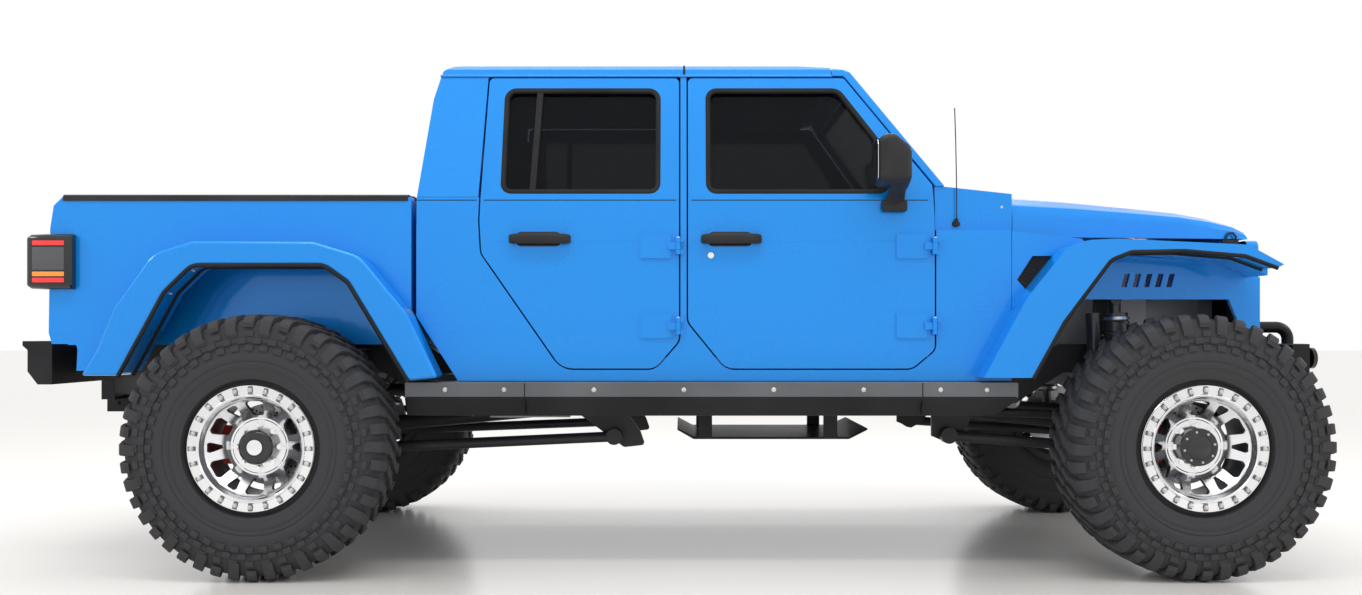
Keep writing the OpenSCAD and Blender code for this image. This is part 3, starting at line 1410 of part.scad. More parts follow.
tyre(axle_f, right);  // tyre_front_right
tyre(axle_f, left);  // tyre_front_left
tyre(axle_r_x, right);  // tyre_rear_right
tyre(axle_r_x, left);  // tyre_rear_left
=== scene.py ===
"""Looks of a lifted off-road crew-cab pickup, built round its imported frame.

Metres throughout. +X forwards, +Y to the vehicle's left, +Z up, origin on the floor.
"""
import logging
import math
from collections.abc import Callable, Sequence
from dataclasses import dataclass, field
from enum import Enum

import bmesh
import bpy
from mathutils import Matrix, Vector


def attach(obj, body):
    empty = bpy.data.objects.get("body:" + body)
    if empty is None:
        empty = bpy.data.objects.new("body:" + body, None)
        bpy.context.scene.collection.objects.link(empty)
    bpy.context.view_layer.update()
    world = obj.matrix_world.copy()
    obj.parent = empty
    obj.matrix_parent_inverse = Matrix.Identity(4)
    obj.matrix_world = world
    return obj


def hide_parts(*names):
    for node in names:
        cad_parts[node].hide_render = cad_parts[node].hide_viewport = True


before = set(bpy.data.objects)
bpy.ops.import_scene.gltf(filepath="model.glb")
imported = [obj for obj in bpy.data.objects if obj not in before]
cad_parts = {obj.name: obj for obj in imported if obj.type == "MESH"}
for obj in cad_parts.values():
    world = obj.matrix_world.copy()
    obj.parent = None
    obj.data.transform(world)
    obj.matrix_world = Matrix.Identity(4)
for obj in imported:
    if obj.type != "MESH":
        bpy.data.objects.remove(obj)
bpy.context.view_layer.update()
LOG = logging.getLogger("pickup")

Point = tuple[float, float, float]
Row = tuple[float, float, float]
Flat = tuple[float, float]
Piece = bpy.types.Object
TURN = 2 * math.pi


class Side(Enum):
    """Side of the vehicle, with the sign of its Y axis."""

    RIGHT = -1
    LEFT = 1

    @property
    def word(self) -> str:
        """The side's name in lower case."""
        return self.name.lower()


class Pattern(Enum):
    """What the surface of a finish carries."""

    PLAIN = "plain"
    FLAKE = "flake"
    GRAIN = "grain"
    CAST = "cast"
    BRUSHED = "brushed"
    WEAVE = "weave"
    RUBBER = "rubber"
    RIBBED = "ribbed"


# ------------------------------------------------------------------ finishes


@dataclass(frozen=True)
class Finish:
    """One finish and the node material that it makes."""

    name: str
    colour: Point
    rough: float
    metal: float = 0.0
    coat: float = 0.0
    pattern: Pattern = Pattern.PLAIN
    second: Point | None = None
    bump: float = 0.0
    scale: float = 300.0
    glow: float = 0.0
    clear: float = 0.0
    opacity: float = 1.0
    shine: float = 0.5

    def material(self) -> bpy.types.Material:
        """Builds the material once, and hands out the same one after that.

        Returns:
            The material of this finish.
        """
        made = bpy.data.materials.get(self.name)
        if made is not None:
            return made
        made = bpy.data.materials.new(self.name)
        made.use_nodes = True
        tree = made.node_tree
        shader = tree.nodes["Principled BSDF"]
        values = {"Base Color": (*self.colour, 1.0), "Metallic": self.metal, "Roughness": self.rough,
                  "Coat Weight": self.coat, "Specular IOR Level": self.shine, "Coat Roughness": 0.04,
                  "Alpha": self.opacity}
        if self.glow:
            values |= {"Emission Color": (*self.colour, 1.0), "Emission Strength": self.glow}
        if self.clear:
            values |= {"Transmission Weight": self.clear, "IOR": 1.45}
        for socket, value in values.items():
            shader.inputs[socket].default_value = value
        if self.pattern is not Pattern.PLAIN:
            self._dress(tree, shader)
        made.diffuse_color = (*self.colour, 1.0)
        return made

    def _dress(self, tree: bpy.types.NodeTree, shader: bpy.types.Node) -> None:
        """Adds the pattern's colour, roughness and bump.

        Args:
            tree: The material's node tree.
            shader: Its Principled shader.
        """
        place = tree.nodes.new("ShaderNodeTexCoord")
        mapping = tree.nodes.new("ShaderNodeMapping")
        tree.links.new(place.outputs["Object"], mapping.inputs["Vector"])
        mapping.inputs["Scale"].default_value = self._stretch()
        fine = self._texture(tree, mapping)
        wide = tree.nodes.new("ShaderNodeTexNoise")
        wide.inputs["Scale"].default_value = 3.0
        wide.inputs["Detail"].default_value = 4.0
        tree.links.new(place.outputs["Object"], wide.inputs["Vector"])
        second = self.second or tuple(min(1.0, c * 1.35 + 0.01) for c in self.colour)
        mix = tree.nodes.new("ShaderNodeMix")
        mix.data_type = "RGBA"
        first_colour, second_colour = [i for i in mix.inputs if i.type == "RGBA"][:2]
        first_colour.default_value = (*self.colour, 1.0)
        second_colour.default_value = (*second, 1.0)
        ramp = tree.nodes.new("ShaderNodeMapRange")
        ramp.inputs["From Min"].default_value = 0.35
        ramp.inputs["From Max"].default_value = 0.75
        spotted = self.pattern in (Pattern.FLAKE, Pattern.WEAVE)
        tree.links.new(fine if spotted else wide.outputs[0], ramp.inputs["Value"])
        tree.links.new(ramp.outputs["Result"], mix.inputs[0])
        mixed = next(o for o in mix.outputs if o.type == "RGBA")
        tree.links.new(mixed, shader.inputs["Base Color"])
        worn = tree.nodes.new("ShaderNodeMapRange")
        worn.inputs["To Min"].default_value = self.rough * 0.85
        worn.inputs["To Max"].default_value = min(1.0, self.rough * 1.2)
        tree.links.new(wide.outputs[0], worn.inputs["Value"])
        tree.links.new(worn.outputs["Result"], shader.inputs["Roughness"])
        if self.bump:
            bump = tree.nodes.new("ShaderNodeBump")
            bump.inputs["Strength"].default_value = self.bump
            bump.inputs["Distance"].default_value = 0.001
            tree.links.new(fine, bump.inputs["Height"])
            tree.links.new(bump.outputs["Normal"], shader.inputs["Normal"])

    def _stretch(self) -> Point:
        """How far the pattern is stretched along each axis."""
        if self.pattern is Pattern.BRUSHED:
            return (1.0, 0.06, 1.0)
        return (1.0, 1.0, 1.0)

    def _texture(self, tree: bpy.types.NodeTree, mapping: bpy.types.Node) -> bpy.types.NodeSocket:
        """Makes the fine texture.

        Args:
            tree: The material's node tree.
            mapping: The node that gives its coordinates.

        Returns:
            The texture's value output.
        """
        if self.pattern in (Pattern.WEAVE, Pattern.RIBBED):
            waves = []
            for axis in ("X", "Z") if self.pattern is Pattern.WEAVE else ("X",):
                wave = tree.nodes.new("ShaderNodeTexWave")
                wave.bands_direction = axis
                wave.inputs["Scale"].default_value = self.scale
                tree.links.new(mapping.outputs["Vector"], wave.inputs["Vector"])
                waves.append(wave.outputs[1])
            if len(waves) == 1:
                return waves[0]
            both = tree.nodes.new("ShaderNodeMath")
            both.operation = "MULTIPLY"
            tree.links.new(waves[0], both.inputs[0])
            tree.links.new(waves[1], both.inputs[1])
            return both.outputs["Value"]
        kind = "ShaderNodeTexVoronoi" if self.pattern in (Pattern.FLAKE,
                                                          Pattern.CAST) else "ShaderNodeTexNoise"
        node = tree.nodes.new(kind)
        node.inputs["Scale"].default_value = self.scale
        tree.links.new(mapping.outputs["Vector"], node.inputs["Vector"])
        if kind == "ShaderNodeTexNoise":
            node.inputs["Detail"].default_value = 3.0
            return node.outputs[0]
        return node.outputs["Distance"]


PAINT = Finish("blue_paint", (0.0, 0.22, 0.74), 0.26, 0.25, 0.55, Pattern.FLAKE, (0.0, 0.32, 0.90), 0.0, 1400,
               shine=0.3)
COATED = Finish("black_powder_coat", (0.022, 0.022, 0.024), 0.42, 0.2, 0.1, Pattern.CAST, bump=0.25,
                scale=900, shine=0.3)
GUARD = Finish("black_guard_coat", (0.01, 0.01, 0.012), 0.38, 0.3, 0.05, Pattern.GRAIN, bump=0.2, scale=700,
               shine=0.3)
GREY_COAT = Finish("grey_coat", (0.11, 0.115, 0.125), 0.4, 0.5, 0.1, Pattern.GRAIN, bump=0.15, scale=500)
PLASTIC = Finish("black_plastic", (0.016, 0.016, 0.018), 0.5, pattern=Pattern.CAST, bump=0.35, scale=700,
                 shine=0.25)
GLOSS_BLACK = Finish("gloss_black", (0.006, 0.006, 0.007), 0.12, 0.0, 0.25, Pattern.GRAIN, bump=0.02,
                     scale=40)
SEAL = Finish("rubber_seal", (0.012, 0.012, 0.013), 0.65, pattern=Pattern.GRAIN, bump=0.2, scale=500,
              shine=0.2)
TYRE = Finish("tyre_rubber", (0.013, 0.014, 0.017), 0.55, 0.0, 0.05, Pattern.RUBBER, (0.024, 0.026, 0.031),
              0.25, 260, shine=0.25)
ALLOY = Finish("polished_alloy", (0.82, 0.83, 0.85), 0.16, 1.0, 0.2, Pattern.GRAIN, (0.9, 0.9, 0.91), 0.03,
               600)
BARREL = Finish("barrel_alloy", (0.16, 0.165, 0.175), 0.34, 0.9, 0.0, Pattern.GRAIN, bump=0.05, scale=500)
MACHINED = Finish("machined_alloy", (0.6, 0.61, 0.63), 0.3, 1.0, 0.0, Pattern.BRUSHED, bump=0.08, scale=900)
CHROME = Finish("chrome", (0.86, 0.87, 0.88), 0.06, 1.0, 0.0, Pattern.GRAIN, (0.9, 0.9, 0.9), 0.01, 300)
DISC = Finish("brake_disc", (0.46, 0.46, 0.47), 0.28, 1.0, 0.0, Pattern.BRUSHED, bump=0.12, scale=700)
ZINC = Finish("zinc_bolt", (0.55, 0.55, 0.54), 0.34, 1.0, 0.0, Pattern.GRAIN, bump=0.1, scale=900)
CASTING = Finish("engine_casting", (0.36, 0.37, 0.38), 0.5, 0.9, 0.0, Pattern.CAST, bump=0.5, scale=600)
EXHAUST = Finish("exhaust_steel", (0.4, 0.38, 0.36), 0.36, 1.0, 0.0, Pattern.BRUSHED, bump=0.1, scale=400)
CALIPER = Finish("red_caliper", (0.55, 0.012, 0.012), 0.32, 0.1, 0.6, Pattern.GRAIN, bump=0.05, scale=300)
SPRING = Finish("spring_coat", (0.03, 0.03, 0.034), 0.35, 0.2, 0.4, Pattern.GRAIN, bump=0.1, scale=300)
GLASS = Finish("tinted_glass", (0.001, 0.002, 0.004), 0.02, opacity=0.72, shine=0.16)
SHIELD_GLASS = Finish("windshield_glass", (0.006, 0.009, 0.011), 0.02, opacity=0.6, shine=0.3)
LENS = Finish("lamp_lens", (0.9, 0.92, 0.95), 0.03, clear=0.95)
RED_LENS = Finish("red_lens", (0.75, 0.01, 0.01), 0.12, coat=0.8, pattern=Pattern.RIBBED, bump=0.3, scale=60,
                  glow=0.6)
AMBER_LENS = Finish("amber_lens", (0.95, 0.2, 0.01), 0.15, coat=0.8, pattern=Pattern.RIBBED, bump=0.3,
                    scale=60, glow=0.5)
DARK_LENS = Finish("dark_lens", (0.05, 0.052, 0.058), 0.14, coat=0.9, pattern=Pattern.RIBBED, bump=0.15,
                   scale=30)
LED = Finish("lamp_led", (0.9, 0.93, 1.0), 0.3, glow=1.2)
CLOTH = Finish("seat_cloth", (0.028, 0.028, 0.031), 0.9, pattern=Pattern.WEAVE, second=(0.05, 0.05, 0.055),
               bump=0.5, scale=260, shine=0.2)
HIDE = Finish("seat_bolster_hide", (0.02, 0.02, 0.022), 0.5, pattern=Pattern.CAST, bump=0.4, scale=500,
              shine=0.3)
CARPET = Finish("floor_carpet", (0.03, 0.03, 0.032), 0.95, pattern=Pattern.GRAIN, bump=0.8, scale=900,
                shine=0.1)
LINER = Finish("bed_liner", (0.02, 0.02, 0.021), 0.7, pattern=Pattern.CAST, bump=0.8, scale=260, shine=0.25)
MESH = Finish("vent_mesh", (0.01, 0.01, 0.011), 0.6, pattern=Pattern.CAST, bump=0.9, scale=180, shine=0.2)
FINS = Finish("radiator_fins", (0.2, 0.2, 0.21), 0.5, 0.8, pattern=Pattern.RIBBED, bump=0.8, scale=120)


Dresser = Callable[[Vector, Vector], Finish]


# ------------------------------------------------------------------ mesh tools


def corner(a: Sequence[float], b: Sequence[float], c: Sequence[float], r: float, n: int) -> list[Flat]:
    """Rounds the corner b of an outline.

    Args:
        a: The point before the corner.
        b: The corner.
        c: The point after it.
        r: Its radius.
        n: Number of steps round it.

    Returns:
        The arc's points, or the corner alone where r is nothing.
    """
    p, q, s = Vector(a[:2]), Vector(b[:2]), Vector(c[:2])
    u, v = (p - q).normalized(), (s - q).normalized()
    half = math.acos(max(-1.0, min(1.0, u.dot(v)))) / 2
    if r <= 0 or half > math.pi / 2 - 0.01:
        return [(q.x, q.y)] * (n + 1)
    centre = q + (u + v).normalized() * (r / math.sin(half))
    start = q + u * (r / math.tan(half)) - centre
    end = q + v * (r / math.tan(half)) - centre
    sweep = math.atan2(start.x * end.y - start.y * end.x, start.dot(end))
    points = []
    for i in range(n + 1):
        turn = math.atan2(start.y, start.x) + sweep * i / n
        points.append((centre.x + r * math.cos(turn), centre.y + r * math.sin(turn)))
    return points


def rounded(rows: Sequence[Row], n: int = 6) -> list[Flat]:
    """Points of an outline whose rows are (x, z, corner radius).

    Args:
        rows: The outline's rows.
        n: Number of steps round each corner.

    Returns:
        The outline's points.
    """
    found = []
    for i, row in enumerate(rows):
        found += corner(rows[i - 1], row, rows[(i + 1) % len(rows)], row[2], n)
    return found


def grown(rows: Sequence[Row], d: float) -> list[Row]:
    """Moves an outline outwards by d, with its corners.

    Args:
        rows: Rows of (x, z, corner radius).
        d: Distance outwards, or inwards where negative.

    Returns:
        The moved rows.
    """
    n = len(rows)
    area = sum(rows[i][0] * rows[(i + 1) % n][1] - rows[(i + 1) % n][0] * rows[i][1] for i in range(n))
    sign = 1 if area > 0 else -1
    found = []
    for i in range(n):
        a, b, c = (Vector(rows[k % n][:2]) for k in (i - 1, i, i + 1))
        u, v = (b - a).normalized(), (c - b).normalized()
        su, sv = Vector((u.y, -u.x)), Vector((v.y, -v.x))
        m = (su + sv) / (1 + su.dot(sv))
        found.append((b.x + sign * d * m.x, b.y + sign * d * m.y, max(rows[i][2] + d, 0.0)))
    return found


class Shape:
    """A mesh under construction, with one finish per face."""

    def __init__(self, name: str) -> None:
        """Starts an empty shape.

        Args:
            name: The piece's name.
        """
        self.name = name
        self.verts: list[Vector] = []
        self.faces: list[list[int]] = []
        self.paints: list[Finish] = []

    def add(self, verts: Sequence[Sequence[float]], faces: Sequence[Sequence[int]], finish: Finish,
            place: Matrix | None = None) -> "Shape":
        """Adds vertices and faces in one finish.

        Args:
            verts: The points.
            faces: Faces, as indices into them.
            finish: Their finish.
            place: Where they go, or None where they are in place.

        Returns:
            The shape itself.
        """
        start = len(self.verts)
        self.verts += [place @ Vector(v) if place else Vector(v) for v in verts]
        self.faces += [[start + i for i in f] for f in faces]
        self.paints += [finish] * len(faces)
        return self

    def loft(self, rings: Sequence[Sequence[Sequence[float]]], finish: Finish, caps: bool = True,
             closed: bool = False, place: Matrix | None = None) -> "Shape":
        """Skins a row of rings with the same number of points.

        Args:
            rings: The rings, each a closed loop of points.
            finish: The skin's finish.
            caps: Whether the two ends are closed.
            closed: Whether the last ring joins the first.
            place: Where the skin goes.

        Returns:
            The shape itself.
        """
        n, m = len(rings[0]), len(rings)
        verts = [p for ring in rings for p in ring]
        faces = []
        for k in range(m if closed else m - 1):
            a, b = k * n, ((k + 1) % m) * n
            faces += [[a + i, a + (i + 1) % n, b + (i + 1) % n, b + i] for i in range(n)]
        if caps and not closed:
            faces += [list(range(n))[::-1], [(m - 1) * n + i for i in range(n)]]
        return self.add(verts, faces, finish, place)

    def box(self, low: Sequence[float], high: Sequence[float], finish: Finish, r: float = 0.004,
            place: Matrix | None = None) -> "Shape":
        """Adds a block with all its edges rounded.

        Args:
            low: Its lowest corner.
            high: Its highest corner.
            finish: Its finish.
            r: Radius of its edges.
            place: Where it goes.

        Returns:
            The shape itself.
        """
        bm = bmesh.new()
        bmesh.ops.create_cube(bm, size=1.0)
        size = [h - l for l, h in zip(low, high)]
        for v in bm.verts:
            v.co = Vector([(l + h) / 2 + c * s for l, h, c, s in zip(low, high, v.co, size)])
        r = min(r, min(size) * 0.45)
        bmesh.ops.bevel(bm, geom=bm.edges[:], offset=r, segments=2, profile=0.6, affect="EDGES",
                        clamp_overlap=True)
        return self.take(bm, finish, place)

    def side_box(self, low: Sequence[float], high: Sequence[float], finish: Finish, side: Side,
                 r: float = 0.004) -> "Shape":
        """Adds a rounded block whose Y is measured outwards on one side of the vehicle."""
        near, far = sorted((side.value * low[1], side.value * high[1]))
        return self.box((low[0], near, low[2]), (high[0], far, high[2]), finish, r)

    def take(self, bm: bmesh.types.BMesh, finish: Finish, place: Matrix | None = None) -> "Shape":
        """Adds what a bmesh holds, and frees it.

        Args:
            bm: The bmesh.
            finish: The finish of its faces.
            place: Where it goes.

        Returns:
            The shape itself.
        """
        bm.verts.index_update()
        verts = [v.co.copy() for v in bm.verts]
        faces = [[v.index for v in f.verts] for f in bm.faces]
        bm.free()
        return self.add(verts, faces, finish, place)

    def turned(self, rows: Sequence[Flat], finish: Finish | Callable[[float, float], Finish],
               steps: int = 64, place: Matrix | None = None, closed: bool = True) -> "Shape":
        """Turns a profile about the local Z axis.

        Args:
            rows: The profile, as (height, radius).
            finish: Its finish, or a function of a face's (height, radius).
            steps: Number of steps round.
            place: Where it goes.
            closed: Whether the profile's last point joins its first.

        Returns:
            The shape itself.
        """
        verts: list[Point] = []
        index: list[list[int]] = []
        for z, r in rows:
            if r < 1e-6:
                index.append([len(verts)] * steps)
                verts.append((0.0, 0.0, z))
            else:
                index.append([len(verts) + i for i in range(steps)])
                verts += [(r * math.cos(TURN * i / steps), r * math.sin(TURN * i / steps),
                           z) for i in range(steps)]
        last = len(rows) if closed else len(rows) - 1
        for k in range(last):
            a, b = index[k], index[(k + 1) % len(rows)]
            (za, ra), (zb, rb) = rows[k], rows[(k + 1) % len(rows)]
            if ra < 1e-6 and rb < 1e-6:
                continue
            paint = finish if isinstance(finish, Finish) else finish((za + zb) / 2, (ra + rb) / 2)
            ring = sorted(set(a) | set(b))
            lookup = {v: i for i, v in enumerate(ring)}
            faces = []
            for i in range(steps):
                j = (i + 1) % steps
                quad = [lookup[a[i]], lookup[a[j]], lookup[b[j]], lookup[b[i]]]
                faces.append(list(dict.fromkeys(quad)))
            self.add([verts[v] for v in ring], faces, paint, place)
        return self

    def tube(self, path: Sequence[Sequence[float]], r: float, finish: Finish, steps: int = 12,
             place: Matrix | None = None) -> "Shape":
        """Adds a round tube along a path.

        Args:
            path: The points of its middle line.
            r: Its radius.
            finish: Its finish.
            steps: Number of steps round it.
            place: Where it goes.

        Returns:
            The shape itself.
        """
        points = [Vector(p) for p in path]
        rings = []
        side = None
        for i, p in enumerate(points):
            along = (points[min(i + 1, len(points) - 1)] - points[max(i - 1, 0)]).normalized()
            if side is None:
                side = along.orthogonal().normalized()
            side = (side - along * side.dot(along)).normalized()
            up = along.cross(side)
            rings.append([p + (side * math.cos(TURN * k / steps) + up * math.sin(TURN * k / steps)) * r
                          for k in range(steps)])
        return self.loft(rings, finish, place=place)

    def bake(self, smooth: float = 35.0, width: float = 0.0, segments: int = 2, subdivide: int = 0,
             weld: float = 1e-5) -> Piece:
        """Turns the shape into a plain mesh object at the origin.

        Args:
            smooth: Largest angle, in degrees, that is shaded smooth.
            width: Width of the bevel on its sharp edges, or 0 for none.
            segments: Steps across that bevel.
            subdivide: Levels of subdivision.
            weld: Distance within which points are merged.

        Returns:
            The object.
        """
        mesh = bpy.data.meshes.new(self.name)
        mesh.from_pydata([tuple(v) for v in self.verts], [], self.faces)
        finishes = list(dict.fromkeys(self.paints))
        for finish in finishes:
            mesh.materials.append(finish.material())
        for polygon, paint in zip(mesh.polygons, self.paints):
            polygon.material_index = finishes.index(paint)
        bm = bmesh.new()
        bm.from_mesh(mesh)
        bmesh.ops.remove_doubles(bm, verts=bm.verts[:], dist=weld)
        bmesh.ops.recalc_face_normals(bm, faces=bm.faces[:])
        bm.to_mesh(mesh)
        bm.free()
        made = linked(self.name, mesh)
        if subdivide:
            modifier = made.modifiers.new("smooth", "SUBSURF")
            modifier.levels = modifier.render_levels = subdivide
        return finished(made, smooth, width, segments)


def linked(name: str, data: bpy.types.ID) -> Piece:
    """Makes an object of a mesh, light or camera, and puts it in the scene."""
    made = bpy.data.objects.new(name, data)
    bpy.context.scene.collection.objects.link(made)
    return made


def finished(made: Piece, smooth: float, width: float, segments: int) -> Piece:
    """Bevels an object's sharp edges, shades it and applies its modifiers.

    Args:
        made: The object.
        smooth: Largest angle, in degrees, that is shaded smooth.
        width: Width of the bevel, or 0 for none.
        segments: Steps across the bevel.

    Returns:
        The same object, with a plain mesh.
    """
    if width:
        modifier = made.modifiers.new("edges", "BEVEL")
        modifier.width = width
        modifier.segments = segments
        modifier.limit_method = "ANGLE"
        modifier.angle_limit = math.radians(28)
        modifier.use_clamp_overlap = True
    if made.modifiers:
        applied(made)
    made.data.shade_smooth()
    made.data.set_sharp_from_angle(angle=math.radians(smooth))
    if width:
        modifier = made.modifiers.new("weights", "WEIGHTED_NORMAL")
        modifier.weight = 100
        modifier.keep_sharp = True
        applied(made)
    return made


def applied(made: Piece) -> Piece:
    """Applies an object's modifiers to its mesh.

    Args:
        made: The object.

    Returns:
        The same object, with a plain mesh.
    """
    bpy.context.view_layer.update()
    plain = bpy.data.meshes.new_from_object(made.evaluated_get(bpy.context.evaluated_depsgraph_get()))
    made.modifiers.clear()
    old, made.data = made.data, plain
    bpy.data.meshes.remove(old)
    return made


def ridden(made: Piece, body: str = "chassis", slot: str = "trim_black",
           *nodes: str) -> Piece:
    """Sends a piece to its body, hides the CAD nodes that it stands for, and logs it.

    Args:
        made: The piece.
        body: The body that it rides on.
        slot: Not used.
        nodes: The CAD nodes that it stands for.

    Returns:
        The piece.
    """
    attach(made, body)
    if nodes:
        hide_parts(*nodes)
    LOG.info("%s rides on %s, %d faces", made.name, body, len(made.data.polygons))
    return made


def from_node(node: str, body: str, slot: str, width: float, paint: Finish | Dresser,
              segments: int = 2) -> Piece:
    """Copies a CAD node, rounds its edges and dresses its faces.

    Args:
        node: The CAD node, which the copy then stands for.
        body: The body that it rides on.
        slot: Not used.
        width: Width of the rounding.
        paint: Its finish, or a function that gives a face's from its middle and its normal.
        segments: Steps across the rounding.

    Returns:
        The piece.
    """
    bm = bmesh.new()
    bm.from_mesh(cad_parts[node].data)
    bmesh.ops.remove_doubles(bm, verts=bm.verts[:], dist=2e-5)
    bmesh.ops.dissolve_degenerate(bm, edges=bm.edges[:], dist=1e-5)
    bmesh.ops.dissolve_limit(bm, angle_limit=math.radians(0.8), verts=bm.verts[:], edges=bm.edges[:])
    mesh = bpy.data.meshes.new(node + "_skin")
    bm.to_mesh(mesh)
    bm.free()
    made = linked(node + "_skin", mesh)
    finished(made, 32.0, width, segments)
    choices = [paint if isinstance(paint, Finish) else paint(polygon.center, polygon.normal)
               for polygon in made.data.polygons]
    finishes = list(dict.fromkeys(choices))
    made.data.materials.clear()
    for choice in finishes:
        made.data.materials.append(choice.material())
    for polygon, choice in zip(made.data.polygons, choices):
        polygon.material_index = finishes.index(choice)
    return ridden(made, body, slot, node)


def dress_node(node: str, finish: Finish) -> None:
    """Gives a CAD node that stays in sight a better finish.

    Args:
        node: The node.
        finish: Its finish.
    """
    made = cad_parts[node]
    made.data.materials.clear()
    made.data.materials.append(finish.material())
    for polygon in made.data.polygons:
        polygon.material_index = 0
    made.data.shade_smooth()
    made.data.set_sharp_from_angle(angle=math.radians(32))


def towards(point: Sequence[float], aim: Sequence[float], roll: float = 0.0) -> Matrix:
    """Place at a point, with its local Z axis along aim and turned by roll about it."""
    turn = Vector(aim).to_track_quat("Z", "Y").to_matrix().to_4x4()
    return Matrix.Translation(Vector(point)) @ turn @ Matrix.Rotation(roll, 4, "Z")


# ------------------------------------------------------------------ node trees


class Tree:
    """A Geometry Nodes tree under construction."""

    def __init__(self, name: str, **sizes: str) -> None:
        """Starts a tree with a geometry input and output, and its named sizes.

        Args:
            name: The tree's name.
            sizes: Names of its other inputs, and their socket types, such as Float or Int.
        """
        self.group = bpy.data.node_groups.new(name, "GeometryNodeTree")
        for way in ("INPUT", "OUTPUT"):
            self.group.interface.new_socket("Geometry", in_out=way, socket_type="NodeSocketGeometry")
        for size, kind in sizes.items():
            self.group.interface.new_socket(size, in_out="INPUT", socket_type="NodeSocket" + kind)
        self.entry = None

    def node(self, kind: str, **links: object) -> bpy.types.Node:
        """Adds a node and sets or links its inputs.

        Args:
            kind: The node's type.
            links: Input names, with _ for a space, and their values or sockets.

        Returns:
            The node.
        """
        made = self.group.nodes.new(kind)
        for name, value in links.items():
            socket = made.inputs[name.replace("_", " ")]
            if isinstance(value, bpy.types.NodeSocket):
                self.group.links.new(value, socket)
            else:
                socket.default_value = value
        return made

    def given(self, name: str) -> bpy.types.NodeSocket:
        """The tree's own input of that name."""
        if self.entry is None:
            self.entry = self.group.nodes.new("NodeGroupInput")
        return self.entry.outputs[name]

    def calc(self, operation: str, a: object, b: object) -> bpy.types.NodeSocket:
        """A Math node's result.

        Args:
            operation: The node's operation.
            a: Its first value or socket.
            b: Its second value or socket.

        Returns:
            Its output.
        """
        made = self.group.nodes.new("ShaderNodeMath")
        made.operation = operation
        for socket, value in zip(made.inputs, (a, b)):
            if isinstance(value, bpy.types.NodeSocket):
                self.group.links.new(value, socket)
            else:
                socket.default_value = value
        return made.outputs["Value"]

    def end(self, geometry: bpy.types.NodeSocket) -> bpy.types.NodeTree:
        """Closes the tree with Realize Instances and Set Material.

        Args:
            geometry: What the tree has made.

        Returns:
            The finished tree.
        """
        real = self.node("GeometryNodeRealizeInstances", Geometry=geometry)
        dressed = self.node("GeometryNodeSetMaterial", Geometry=real.outputs["Geometry"],
                            Material=self.given("Finish"))
        out = self.group.nodes.new("NodeGroupOutput")
        self.group.links.new(dressed.outputs["Geometry"], out.inputs["Geometry"])
        return self.group


def ring_tree() -> bpy.types.NodeTree:
    """Tree that sets copies of a part round a circle.

    Returns:
        The tree.
    """
    tree = Tree("ring_of_parts", Part="Object", Count="Int", Radius="Float", Phase="Float", Finish="Material")
    circle = tree.node("GeometryNodeMeshCircle", Vertices=tree.given("Count"), Radius=tree.given("Radius"))
    index = tree.group.nodes.new("GeometryNodeInputIndex").outputs["Index"]
    turn = tree.calc("MULTIPLY", index, tree.calc("DIVIDE", TURN, tree.given("Count")))
    spin = tree.node("ShaderNodeCombineXYZ", Z=turn)
    rotation = tree.node("FunctionNodeEulerToRotation", Euler=spin.outputs["Vector"])
    part = tree.node("GeometryNodeObjectInfo", Object=tree.given("Part"))
    copies = tree.node("GeometryNodeInstanceOnPoints", Points=circle.outputs["Mesh"],
                       Instance=part.outputs["Geometry"], Rotation=rotation.outputs["Rotation"])
    phase = tree.node("ShaderNodeCombineXYZ", Z=tree.given("Phase"))
    turned = tree.node("GeometryNodeTransform", Geometry=copies.outputs["Instances"],
                       Rotation=phase.outputs["Vector"])
    return tree.end(turned.outputs["Geometry"])


def aimed_tree() -> bpy.types.NodeTree:
    """Tree that sets a part on each point of a mesh, along the point's aim.

    Returns:
        The tree.
    """
    tree = Tree("parts_on_points", Part="Object", Size="Float", Finish="Material")
    aim = tree.group.nodes.new("GeometryNodeInputNamedAttribute")
    aim.data_type = "FLOAT_VECTOR"
    aim.inputs["Name"].default_value = "aim"
    align = tree.group.nodes.new("FunctionNodeAlignRotationToVector")
    align.axis = "Z"
    tree.group.links.new(aim.outputs["Attribute"], align.inputs["Vector"])
    part = tree.node("GeometryNodeObjectInfo", Object=tree.given("Part"))
    size = tree.node("ShaderNodeCombineXYZ", X=tree.given("Size"), Y=tree.given("Size"), Z=tree.given("Size"))
    copies = tree.node("GeometryNodeInstanceOnPoints", Points=tree.given("Geometry"),
                       Instance=part.outputs["Geometry"], Rotation=align.outputs["Rotation"],
                       Scale=size.outputs["Vector"])
    return tree.end(copies.outputs["Instances"])


def row_tree() -> bpy.types.NodeTree:
    """Tree that sets copies of a part in a straight row.

    Returns:
        The tree.
    """
    tree = Tree("row_of_parts", Part="Object", Count="Int", Start="Vector", Step="Vector", Finish="Material")
    line = tree.node("GeometryNodeMeshLine", Count=tree.given("Count"), Start_Location=tree.given("Start"),
                     Offset=tree.given("Step"))
    part = tree.node("GeometryNodeObjectInfo", Object=tree.given("Part"))
    copies = tree.node("GeometryNodeInstanceOnPoints", Points=line.outputs["Mesh"],
                       Instance=part.outputs["Geometry"])
    return tree.end(copies.outputs["Instances"])


